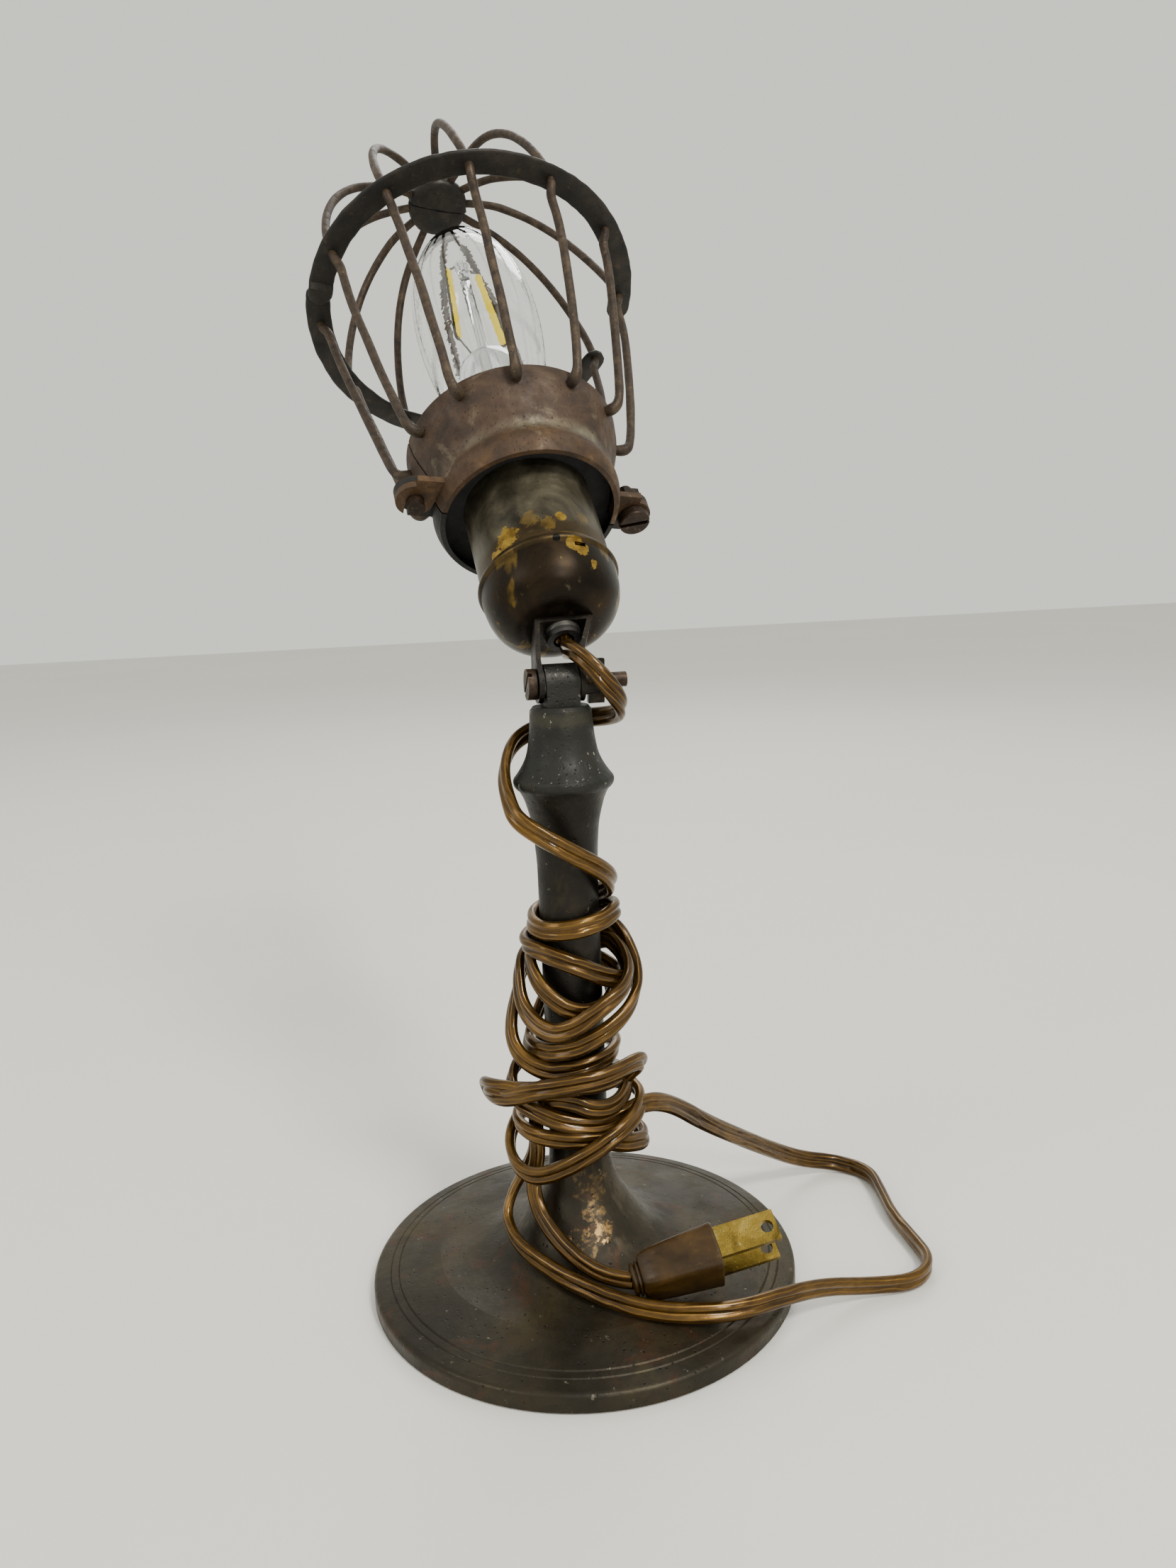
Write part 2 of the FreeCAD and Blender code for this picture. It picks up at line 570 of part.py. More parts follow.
def latch_peg():
    """Round peg riveted in the rear half's left lug; the front half's slot closes on it."""
    top = EAR_S + 2 * EAR_T + 0.1
    peg = Part.makeCylinder(PEG_R, top + 1.4 - (EAR_S - 3.2), Vector(-EAR_RHO, 0, EAR_S - 3.2))
    head = Part.makeCylinder(3.6, 1.4, Vector(-EAR_RHO, 0, top))
    return placed(peg.fuse(head), GUARD)


def clamp_screw():
    """Slotted hinge and clamp screw through the right-hand lugs, its head underneath."""
    head = Part.makeCylinder(4.6, 3.0, Vector(EAR_RHO, 0, EAR_S - 3.1))
    head = head.makeFillet(0.6, [head.Edges[2]]) if len(head.Edges) > 2 else head
    shank = Part.makeCylinder(SCREW_R, 10.5, Vector(EAR_RHO, 0, EAR_S - 0.1))
    slot = Part.makeBox(1.3, 12, 1.1, Vector(EAR_RHO - 0.65, -6, EAR_S - 3.2))
    slot.rotate(Vector(EAR_RHO, 0, 0), Z_AXIS, 70)
    return placed(head.fuse(shank).cut(slot), GUARD)


def clamp_nut():
    low = EAR_S + 2 * EAR_T + 0.15
    nut = prism(6, 8.0, 3.4, Vector(EAR_RHO, 0, low))
    hole = Part.makeCylinder(SCREW_R + 0.05, 20, Vector(EAR_RHO, 0, low - 5))
    return placed(nut.cut(hole), GUARD)


def packing_ring():
    """Black packing gripped in the collar's waist round the lampholder's shell."""
    low, high = 62.4, 70.6
    blank = ring(28.5, SHELL_R, low, high).cut(collar_profile())
    filling = min(blank.Solids, key=lambda solid: solid.BoundBox.XLength)
    front = filling.common(half_space(True)).common(ring(24.2, 0, low, high))
    middle = filling.common(ring(24.2, 0, low, high))
    return placed(filling.common(half_space(False)).fuse(middle).fuse(front).removeSplitter(),
                  GUARD)


def sector(low, thickness, start, end):
    """Part of the hoop's flat ring between two angles, in degrees."""
    outer = Part.makeCylinder(HOOP_R, thickness, Vector(0, 0, low), Z_AXIS, end - start)
    band = outer.cut(Part.makeCylinder(HOOP_R - HOOP_W, thickness, Vector(0, 0, low)))
    band.rotate(Vector(), Z_AXIS, start)
    return band


def hoop(front):
    """Half of the hoop. On the left the front half steps down and laps under the rear."""
    if front:
        lap = HOOP_LOW - LAP_PLAY - HOOP_T
        band = sector(HOOP_LOW, HOOP_T, -178.2, HOOP_RIGHT_FRONT)
        band = band.fuse(sector(lap, HOOP_LOW + HOOP_T - lap, -178.2, -177.0))
        band = band.fuse(sector(lap, HOOP_T, -185.0, -177.0)).removeSplitter()
    else:
        band = sector(HOOP_LOW, HOOP_T, HOOP_RIGHT_REAR, 181.0)
    return placed(band.cut(wire_cutters(front)), GUARD)


def hub(front):
    disc = ring(HUB_R, 0, HUB_LOW, HUB_LOW + HUB_H)
    disc.translate(Vector(HUB_DX, 0, 0))
    return placed(disc.common(half_space(front)).cut(wire_cutters(front)), GUARD)


# ---- cord and plug ---------------------------------------------------------------------
def cord_winding(low):
    """Outer shape of the wound cord: upper or lower part of the hank round the column."""
    if low:
        body = lathe([(9.9, 33.0), (14.0, 33.0), [(19.0, 38.5), (19.6, 50.0), (18.6, 60.0),
                                                  (17.4, 70.0)],
                      (WIND_BORE, 70.0), (WIND_BORE, 47.0), (8.9, 38.5)])
        fold = Part.makeCylinder(3.6, 9.0, Vector(-16.5, 1.5, 56.0), Vector(-1, 0.1, 0))
        return body.fuse(fold).removeSplitter()
    return lathe([(WIND_BORE, 70.3), (17.2, 70.3), [(18.2, 78.0), (17.8, 88.0), (13.6, 97.0),
                                                    (13.4, 102.0), (12.8, 106.4)],
                  (WIND_BORE, 106.4)])


PLUG_TURN = Rotation(Z_AXIS, PLUG_YAW).multiply(Rotation(Y_AXIS, -PLUG_PITCH))
PLUG = Placement(PLUG_START, PLUG_TURN.multiply(Rotation(X_AXIS, -PLUG_ROLL)))
RELIEF_L, PLUG_L, BLADE_L = 2.2, 20.4, 16.0


def rounded_block(x_low, x_high, width_low, width_high, thick_low, thick_high, corner):
    """Tapered block along X with rounded corners."""
    sections = []
    for x, w, t in ((x_low, width_low, thick_low), (x_high, width_high, thick_high)):
        rect = [Vector(x, a * w / 2, b * t / 2) for a, b in ((-1, -1), (1, -1), (1, 1), (-1, 1))]
        sections.append(Part.makePolygon(rect + rect[:1]))
    block = Part.makeLoft(sections, True, True)
    long_edges = [e for e in block.Edges
                  if abs(e.Vertexes[0].X - e.Vertexes[-1].X) > (x_high - x_low) / 2]
    return block.makeFillet(corner, long_edges)


def plug_relief():
    """Ribbed neck of the plug that grips the cord."""
    neck = rounded_block(0.0, RELIEF_L, 8.6, 9.0, 6.6, 6.8, 1.6)
    groove = Part.makeBox(0.5, 30, 30, Vector(0.9, -15, -15)).cut(
        Part.makeBox(0.5, 7.2, 5.2, Vector(0.9, -3.6, -2.6)))
    neck = neck.cut(groove)
    return placed(neck, PLUG)


def plug_body():
    return placed(rounded_block(RELIEF_L, RELIEF_L + PLUG_L, 12.6, 17.4, 9.4, 11.6, 2.2), PLUG)


def plug_blades():
    """Flat blades, one wider than the other, each with a round hole near its tip."""
    start = RELIEF_L + PLUG_L
    blades = []
    for side, width in ((-1, 7.9), (1, 6.35)):
        blade = Part.makeBox(BLADE_L, 1.5, width, Vector(start, side * 6.35 - 0.75, -width / 2))
        hole = Part.makeCylinder(1.6, 30, Vector(start + 13.4, -15, 0), Y_AXIS)
        blades.append(blade.cut(hole))
    return placed(group(blades), PLUG)


def main():
    os.makedirs("parts", exist_ok=True)
    stand = {"base_casting": base_casting(), "base_weight": base_weight(),
             "base_felt": base_felt(), "tie_rod": tie_rod(), "tie_rod_washer": tie_washer(),
             "tie_rod_nut": tie_nut(), "knuckle": knuckle(), "pivot_bolt": pivot_bolt(),
             "wing_nut": wing_nut()}
    holder = {"cord_bushing": cord_bushing(), "cap_nipple": cap_nipple(),
              "nipple_nut": nipple_nut(), "socket_cap": socket_cap(), "cap_liner": cap_liner(),
              "socket_shell": socket_shell(), "shell_liner": shell_liner(),
              "socket_body": socket_body(), "centre_contact": centre_contact(),
              "terminal_screws": terminal_screws(), "screw_shell": screw_shell(),
              "cord_leads": cord_leads(), "bulb_cap": bulb_cap(),
              "bulb_insulator": bulb_insulator(), "bulb_eyelet": bulb_eyelet(),
              "bulb_glass": bulb_glass(), "bulb_stem": bulb_stem(),
              "bulb_filaments": bulb_filaments(), "bulb_leads": bulb_leads()}
    guard = {"latch_peg": latch_peg(), "clamp_screw": clamp_screw(), "clamp_nut": clamp_nut(),
             "packing_ring": packing_ring()}
    for label, front in (("front", True), ("rear", False)):
        guard["collar_" + label] = collar(front)
        guard["hoop_" + label] = hoop(front)
        guard["hub_" + label] = hub(front)
        guard["wires_" + label] = guard_wires(front)
    upper, lower = cord_winding(False), cord_winding(True)
    relief = plug_relief()
    cord = {"cord_winding_upper": upper, "cord_winding_lower": lower,
            "cord_neck": tube(NECK, CORD_D / 2, label="neck").cut(upper),
            "cord_table_loop": tube(TABLE_LOOP, CORD_D / 2, label="table loop").cut(lower),
            "cord_tail": tube(TAIL, CORD_D / 2, label="tail").cut(lower).cut(relief),
            "plug_relief": relief, "plug_body": plug_body(), "plug_blades": plug_blades()}
    for name, shape in holder.items():
        holder[name] = placed(shape, HEAD)
    holder["yoke"] = yoke()
    holder["friction_washers"] = friction_washers()
    for parts in (stand, holder, guard, cord):
        for name, shape in parts.items():
            export(name, shape)


main()
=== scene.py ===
import json
import math
import random

import bmesh
import bpy
from mathutils import Matrix, Vector, noise


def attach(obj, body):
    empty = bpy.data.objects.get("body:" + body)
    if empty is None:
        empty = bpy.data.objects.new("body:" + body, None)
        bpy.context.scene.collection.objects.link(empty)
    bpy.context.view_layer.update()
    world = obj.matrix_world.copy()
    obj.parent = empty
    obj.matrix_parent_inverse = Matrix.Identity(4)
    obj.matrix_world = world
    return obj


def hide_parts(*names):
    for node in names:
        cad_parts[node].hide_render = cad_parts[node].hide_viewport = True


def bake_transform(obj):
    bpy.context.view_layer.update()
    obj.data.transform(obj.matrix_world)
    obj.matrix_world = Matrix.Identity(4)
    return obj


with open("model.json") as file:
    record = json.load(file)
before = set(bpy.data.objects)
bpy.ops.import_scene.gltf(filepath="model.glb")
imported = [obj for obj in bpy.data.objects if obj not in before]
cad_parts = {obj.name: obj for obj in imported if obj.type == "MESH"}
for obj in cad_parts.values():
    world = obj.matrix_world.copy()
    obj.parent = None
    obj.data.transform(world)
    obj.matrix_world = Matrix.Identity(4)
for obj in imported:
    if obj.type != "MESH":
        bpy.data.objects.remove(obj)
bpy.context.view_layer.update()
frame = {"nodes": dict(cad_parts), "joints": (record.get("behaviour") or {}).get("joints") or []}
JOINTS = {joint["name"]: joint for joint in frame["joints"]}
NODES = frame["nodes"]
MM = 0.001                # tables and constants are in millimetres unless they say otherwise
COLLECTION = bpy.context.scene.collection


# ---- frames of the head and of its guard, from the joints --------------------
GUARD_TURN = math.radians(10.0)     # the guard's split line, from the yoke's crosswise line
BULB_JOINT_S = 79.0


def guard_frame():
    """Frame in mm with +Z along the head's axis and +X towards the guard's screw."""
    axis = Vector(JOINTS["bulb_turn"]["axis"]).normalized()
    origin = Vector(JOINTS["bulb_turn"]["pos_m"]) - axis * BULB_JOINT_S * MM
    screw = Vector(JOINTS["guard_open"]["pos_m"]) - origin
    across = (screw - axis * screw.dot(axis)).normalized()
    turn = Matrix((across, axis.cross(across), axis)).transposed().to_4x4()
    return Matrix.Translation(origin) @ turn @ Matrix.Scale(MM, 4)


GUARD = guard_frame()
HEAD = GUARD @ Matrix.Rotation(-GUARD_TURN, 4, "Z")
STAND = Matrix.Scale(MM, 4)


# ---- camera, light and floor -------------------------------------------------
CAMERA_PLACE = (-60.7, -295.9, 195.4)
CAMERA_TURNS = (12.79, 10.563, -2.298)    # degrees of heading, of looking down and of roll
CAMERA_SENSOR, CAMERA_LENS = 36.0, 27.03
MIDDLE = (0.0, 0.0, 0.15)
# Name, place, target, size, power and colour of each lamp.
LAMPS = [("key", (0.35, -0.75, 1.15), MIDDLE, 0.30, 12.0, (1.0, 0.96, 0.88)),
         ("side", (-0.95, -0.35, 0.75), MIDDLE, 0.45, 3.0, (1.0, 0.98, 0.94)),
         ("glint", (0.22, -0.95, 0.62), (0, 0, 0.2), 0.12, 3.2, (1.0, 0.97, 0.9)),
         ("back", (0.3, 0.9, 1.0), MIDDLE, 0.7, 6.0, (1.0, 1.0, 1.0))]
SURROUNDINGS, SURROUND_STRENGTH = (0.86, 0.86, 0.79, 1), 1.12
FLOOR_SIZE = 6.0


def make_camera():
    heading, pitch, roll = (math.radians(turn) for turn in CAMERA_TURNS)
    forward = Vector((math.sin(heading) * math.cos(pitch),
                      math.cos(heading) * math.cos(pitch), -math.sin(pitch)))
    level = Vector((math.cos(heading), -math.sin(heading), 0))
    upward = level.cross(forward)
    right = level * math.cos(roll) + upward * math.sin(roll)
    up = upward * math.cos(roll) - level * math.sin(roll)
    data = bpy.data.cameras.new("camera")
    data.sensor_width = CAMERA_SENSOR
    data.lens = CAMERA_LENS
    data.clip_start = 0.01
    camera = bpy.data.objects.new("camera", data)
    camera.matrix_world = (Matrix.Translation(Vector(CAMERA_PLACE) * MM)
                           @ Matrix((right, up, -forward)).transposed().to_4x4())
    COLLECTION.objects.link(camera)
    bpy.context.scene.camera = camera


def make_lights():
    for name, place, target, size, power, colour in LAMPS:
        data = bpy.data.lights.new(name, "AREA")
        data.shape, data.size, data.energy, data.color = "DISK", size, power, colour
        light = bpy.data.objects.new(name, data)
        light.location = place
        direction = Vector(target) - Vector(place)
        light.rotation_euler = direction.to_track_quat("-Z", "Y").to_euler()
        COLLECTION.objects.link(light)
    world = bpy.data.worlds.new("studio")
    world.use_nodes = True
    background = world.node_tree.nodes["Background"].inputs
    background["Color"].default_value = SURROUNDINGS
    background["Strength"].default_value = SURROUND_STRENGTH
    bpy.context.scene.world = world


# ---- mesh helpers ------------------------------------------------------------
SHARP_EDGE = 40.0         # degrees between faces from which the edge shows


def new_object(name, mesh, material):
    mesh.polygons.foreach_set("use_smooth", [True] * len(mesh.polygons))
    mesh.set_sharp_from_angle(angle=math.radians(SHARP_EDGE))
    mesh.materials.append(material)
    piece = bpy.data.objects.new(name, mesh)
    COLLECTION.objects.link(piece)
    return piece


def finish_piece(piece, body, slot, *nodes):
    """Rides the piece on its body and hides the nodes that it stands for."""
    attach(piece, body)
    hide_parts(*nodes)


def skin_mesh(name, *skins):
    """Mesh of closed skins. Each is rows of points, and all its rows are rings of one length."""
    made = bmesh.new()
    for rows in skins:
        rings = [[made.verts.new(p) for p in row] for row in rows]
        for low, high in zip(rings, rings[1:]):
            for i in range(len(low)):
                j = (i + 1) % len(low)
                made.faces.new((low[i], low[j], high[j], high[i]))
        made.faces.new(list(reversed(rings[0])))
        made.faces.new(rings[-1])
    bmesh.ops.recalc_face_normals(made, faces=made.faces)
    mesh = bpy.data.meshes.new(name)
    made.to_mesh(mesh)
    made.free()
    return mesh


def spline_points(route, resolution):
    """Points along the NURBS line whose control points are the route's, in metres."""
    curve = bpy.data.curves.new("line", "CURVE")
    curve.dimensions = "3D"
    spline = curve.splines.new("NURBS")
    spline.points.add(len(route) - 1)
    for point, place in zip(spline.points, route):
        point.co = (*place, 1.0)
    spline.order_u = 3
    spline.use_endpoint_u = True
    spline.resolution_u = resolution
    holder = bpy.data.objects.new("line", curve)
    COLLECTION.objects.link(holder)
    bpy.context.view_layer.update()
    mesh = bpy.data.meshes.new_from_object(
        holder.evaluated_get(bpy.context.evaluated_depsgraph_get()))
    points = [v.co.copy() for v in mesh.vertices]
    bpy.data.objects.remove(holder)
    bpy.data.curves.remove(curve)
    bpy.data.meshes.remove(mesh)
    return points


def wobble(x, y, z):
    """Smooth unevenness between -1 and 1, the same at the same place every time."""
    return noise.noise(Vector((x, y, z)))


def tangents(points):
    found = []
    for i in range(len(points)):
        before, after = points[max(i - 1, 0)], points[min(i + 1, len(points) - 1)]
        found.append((after - before).normalized())
    return found


def travel(points):
    """Distance along the line at each point."""
    done = [0.0]
    for a, b in zip(points, points[1:]):
        done.append(done[-1] + (b - a).length)
    return done


SHADE = 0.68              # old dark metal against bright surroundings: all colours alike


def srgb(*levels):
    """Linear colour from levels between 0 and 255."""
    return tuple((v / 255 / 12.92 if v <= 10 else ((v / 255 + 0.055) / 1.055) ** 2.4) * SHADE
                 for v in levels)


# ---- node helpers ------------------------------------------------------------
MATERIALS = {}            # by the name that each is made with


class Nodes:
    """Short spellings for building one material's node tree."""

    def __init__(self, name):
        self.material = MATERIALS[name] = bpy.data.materials.new(name)
        self.material.use_nodes = True
        self.tree = self.material.node_tree
        self.shader = self.tree.nodes["Principled BSDF"]
        self.place = self.node("TexCoord").outputs["Object"]

    def node(self, kind):
        return self.tree.nodes.new("ShaderNode" + kind)

    def link(self, source, node, socket):
        self.tree.links.new(source, node.inputs[socket])

    def noise(self, scale, detail=4.0, roughness=0.6, distortion=0.0, place=None):
        node = self.node("TexNoise")
        node.inputs["Scale"].default_value = scale
        node.inputs["Detail"].default_value = detail
        node.inputs["Roughness"].default_value = roughness
        node.inputs["Distortion"].default_value = distortion
        self.link(place or self.place, node, "Vector")
        return node.outputs["Fac"]

    def cells(self, scale):
        node = self.node("TexVoronoi")
        node.inputs["Scale"].default_value = scale
        self.link(self.place, node, "Vector")
        return node.outputs["Distance"]

    def stretched(self, x, y, z):
        """Places scaled along each axis, for a pattern drawn out where the scale is small."""
        node = self.node("Mapping")
        node.inputs["Scale"].default_value = (x, y, z)
        self.link(self.place, node, "Vector")
        return node.outputs["Vector"]

    def ramp(self, value, *stops):
        """stops are (position, grey) or (position, (r, g, b))."""
        node = self.node("ValToRGB")
        elements = node.color_ramp.elements
        while len(elements) < len(stops):
            elements.new(0.5)
        for element, (position, colour) in zip(elements, stops):
            element.position = position
            element.color = (colour,) * 3 + (1,) if isinstance(colour, float) else (*colour, 1)
        self.link(value, node, "Fac")
        return node.outputs["Color"]

    def math(self, operation, a, b=0):
        node = self.node("Math")
        node.operation = operation
        for socket, value in zip(node.inputs, (a, b)):
            if isinstance(value, (int, float)):
                socket.default_value = value
            else:
                self.tree.links.new(value, socket)
        return node.outputs[0]

    def times(self, a, b):
        return self.math("MULTIPLY", a, b)

    def plus(self, a, b):
        return self.math("ADD", a, b)

    def height(self):
        """Millimetres above the floor."""
        return self.math("DIVIDE", self.along("Z"), MM)

    def mix(self, factor, a, b, share=1.0):
        """Colour a where the factor is 0, with that share of colour b where it is 1."""
        if share < 1.0:
            factor = self.times(factor, share)
        node = self.node("Mix")
        node.data_type = "RGBA"
        self.tree.links.new(factor, node.inputs[0])
        for socket, value in ((node.inputs[6], a), (node.inputs[7], b)):
            if isinstance(value, tuple):
                socket.default_value = (*value, 1)
            else:
                self.tree.links.new(value, socket)
        return node.outputs[2]

    def between(self, value, low, high):
        """0 up to low, 1 from high on, and smooth between them."""
        node = self.node("MapRange")
        node.interpolation_type = "SMOOTHSTEP"
        node.inputs["From Min"].default_value = low
        node.inputs["From Max"].default_value = high
        self.link(value, node, "Value")
        return node.outputs["Result"]

    def band(self, value, low, high, soft):
        """1 between low and high, and 0 outside them."""
        rise = self.between(value, low - soft, low + soft)
        fall = self.between(value, high - soft, high + soft)
        return self.times(rise, self.math("SUBTRACT", 1.0, fall))

    def up_axis(self, frame_of):
        """Millimetres along a frame's +Z axis."""
        axis = frame_of.col[2].xyz / MM
        node = self.node("VectorMath")
        node.operation = "DOT_PRODUCT"
        node.inputs[1].default_value = axis / MM
        self.link(self.place, node, 0)
        start = frame_of.translation.dot(axis) / MM
        return self.math("SUBTRACT", node.outputs["Value"], start)

    def spot(self, frame_of, place, radius, ragged=0.5, scale=500.0):
        """1 within about radius mm of a place in a frame, with a ragged edge."""
        node = self.node("VectorMath")
        node.operation = "DISTANCE"
        node.inputs[1].default_value = frame_of @ Vector(place)
        self.link(self.place, node, 0)
        distance = self.math("DIVIDE", node.outputs["Value"], radius * MM)
        rough = self.times(self.noise(scale, 3.0), ragged * 2)
        return self.math("SUBTRACT", 1.0, self.between(
            self.plus(distance, rough), 0.8 + ragged, 1.0 + ragged))

    def either(self, *masks):
        """The strongest of the masks."""
        total = masks[0]
        for mask in masks[1:]:
            total = self.math("MAXIMUM", total, mask)
        return total

    def attribute(self, name):
        node = self.node("Attribute")
        node.attribute_name = name
        return node.outputs["Fac"]

    def along(self, axis):
        node = self.node("SeparateXYZ")
        self.tree.links.new(self.place, node.inputs[0])
        return node.outputs[axis]

    def bump(self, *layers):
        """layers are (height, strength, distance in mm), laid over each other."""
        last = None
        for height, strength, distance in layers:
            node = self.node("Bump")
            node.inputs["Strength"].default_value = strength
            node.inputs["Distance"].default_value = distance * MM
            self.link(height, node, "Height")
            if last is not None:
                self.link(last, node, "Normal")
            last = node.outputs["Normal"]
        self.link(last, self.shader, "Normal")

    def set(self, **values):
        """Uniform values straight on the shader's sockets; sockets given outputs are linked."""
        for name, value in values.items():
            socket = self.shader.inputs[name.replace("_", " ")]
            if isinstance(value, bpy.types.NodeSocket):
                self.tree.links.new(value, socket)
            elif isinstance(value, tuple):
                socket.default_value = (*value, 1)
            else:
                socket.default_value = value


# ---- cord --------------------------------------------------------------------
CORD_WIDTH, CORD_THICKNESS = 5.2, 2.7
CORD_GROOVE = 0.78        # from the cord's middle to the bottom of its groove
CORD_LOBE = (CORD_WIDTH - CORD_THICKNESS) / 2      # to the middle of either core
NECK = [
    (3.6, 9.0, 175.8), (3.7, 6.8, 173.4), (2.4, 1.4, 174.3), (3.2, -4.8, 174.2),
    (7.2, -9.0, 169.8), (11.8, -9.8, 163.9), (15.4, -5.6, 158.6), (14.4, 2.2, 156.2),
    (8.9, 8.9, 155.2), (0.0, 12.7, 153.8), (-8.6, 10.4, 151.6), (-13.2, 6.6, 148.0),
    (-15.6, 2.0, 142.6), (-15.4, -3.2, 137.0), (-14.6, -8.4, 132.9), (-9.8, -11.9, 129.3),
    (-3.5, -13.4, 125.3), (3.2, -13.0, 120.9), (8.9, -9.0, 116.4), (11.2, -3.6, 112.0),
    (10.4, 3.8, 108.6), (6.0, 9.6, 106.8), (-0.6, 11.2, 105.2)]
TABLE_LOOP = [
    (13.2, -10.6, 52.0), (20.0, -7.0, 51.2), (28.0, -1.2, 45.6), (38.0, 6.0, 36.0),
    (49.5, 13.4, 26.6), (62.5, 21.4, 16.4), (77.0, 28.6, 6.4), (90.0, 29.6, 2.7),
    (97.6, 20.6, 2.8), (95.6, 8.4, 2.7), (92.6, -4.6, 2.7), (92.2, -17.4, 2.7), (91.6, -28.6, 2.7),
    (83.6, -35.8, 2.7), (70.0, -34.8, 3.4), (56.0, -37.4, 7.6), (43.0, -42.2, 10.6),
    (30.2, -44.5, 10.4), (19.0, -43.4, 10.9), (8.0, -39.8, 11.6), (-1.0, -33.8, 12.6),
    (-8.6, -27.0, 14.2), (-15.6, -18.8, 16.2), (-20.6, -10.8, 18.0), (-22.0, -3.4, 22.0),
    (-19.6, -0.6, 27.0), (-16.4, 0.6, 31.4), (-13.2, 1.0, 36.6)]
TAIL = [
    (-12.4, -3.2, 37.8), (-14.6, -5.2, 31.6), (-14.0, -9.6, 25.6), (-10.8, -16.2, 20.8),
    (-5.8, -23.8, 17.4), (0.2, -30.2, 15.9), (5.4, -33.4, 16.4)]
# Keys of the wound turns: degrees round the column from the camera's side, growing to
# the right across the front, then distance from the column's axis and height.
TURNS_OUT = [
    (228, 11.2, 103.6), (270, 10.2, 102.6), (320, 9.9, 102.0), (361, 10.0, 102.7),
    (399, 10.4, 103.6), (441, 12.3, 105.3), (475, 13.0, 104.6), (530, 11.6, 101.2),
    (585, 11.6, 98.2), (630, 12.5, 96.8), (674, 10.9, 96.4), (702, 10.3, 95.0), (733, 10.4, 92.6),
    (766, 11.6, 89.1), (793, 13.8, 86.4), (825, 13.4, 86.2), (870, 11.4, 89.0), (930, 10.9, 93.6),
    (975, 11.0, 95.4), (1001, 11.4, 94.0), (1017, 11.8, 90.6), (1036, 12.0, 87.0),
    (1059, 12.0, 83.4), (1077, 11.6, 81.2), (1096, 11.2, 80.2), (1130, 10.6, 80.6),
    (1170, 10.4, 82.5), (1215, 11.0, 86.4), (1260, 12.6, 91.4), (1310, 13.8, 93.4),
    (1345, 14.2, 90.4), (1359, 14.6, 85.4), (1373, 14.6, 80.8), (1394, 14.3, 77.4),
    (1416, 14.2, 75.8), (1431, 14.6, 76.9), (1446, 15.1, 78.9), (1462, 16.0, 82.0),
    (1479, 16.5, 84.6), (1497, 16.4, 86.4), (1519, 15.6, 88.4), (1542, 14.3, 91.4),
    (1567, 13.0, 94.4), (1600, 11.6, 92.4), (1640, 11.4, 83.0), (1680, 12.0, 73.6),
    (1710, 12.8, 69.2), (1741, 12.2, 69.0), (1769, 12.2, 69.6), (1795, 12.6, 71.0),
    (1814, 13.4, 72.8), (1833, 14.4, 75.2), (1852, 15.2, 77.4), (1868, 16.4, 80.0),
    (1883, 17.4, 83.5), (1897, 17.6, 87.4), (1912, 16.9, 92.2), (1926, 15.8, 97.0),
    (1950, 14.2, 99.8), (1985, 13.6, 98.2), (2025, 13.8, 92.6), (2050, 14.4, 87.4),
    (2063, 15.4, 82.6), (2072, 16.8, 77.0), (2080, 17.4, 72.0), (2092, 16.6, 68.0),
    (2108, 14.6, 65.4), (2130, 13.2, 64.4), (2156, 12.4, 65.2), (2184, 12.0, 66.3),
    (2211, 11.4, 66.8), (2245, 11.0, 67.4), (2300, 10.8, 67.2), (2360, 11.4, 66.0),
    (2405, 13.4, 64.6), (2428, 16.2, 62.4), (2438, 18.0, 59.6), (2446, 18.0, 56.4),
    (2462, 16.8, 54.2), (2485, 14.8, 52.6), (2510, 13.6, 50.6), (2532, 13.2, 49.4),
    (2556, 13.4, 48.8), (2580, 14.8, 50.4)]
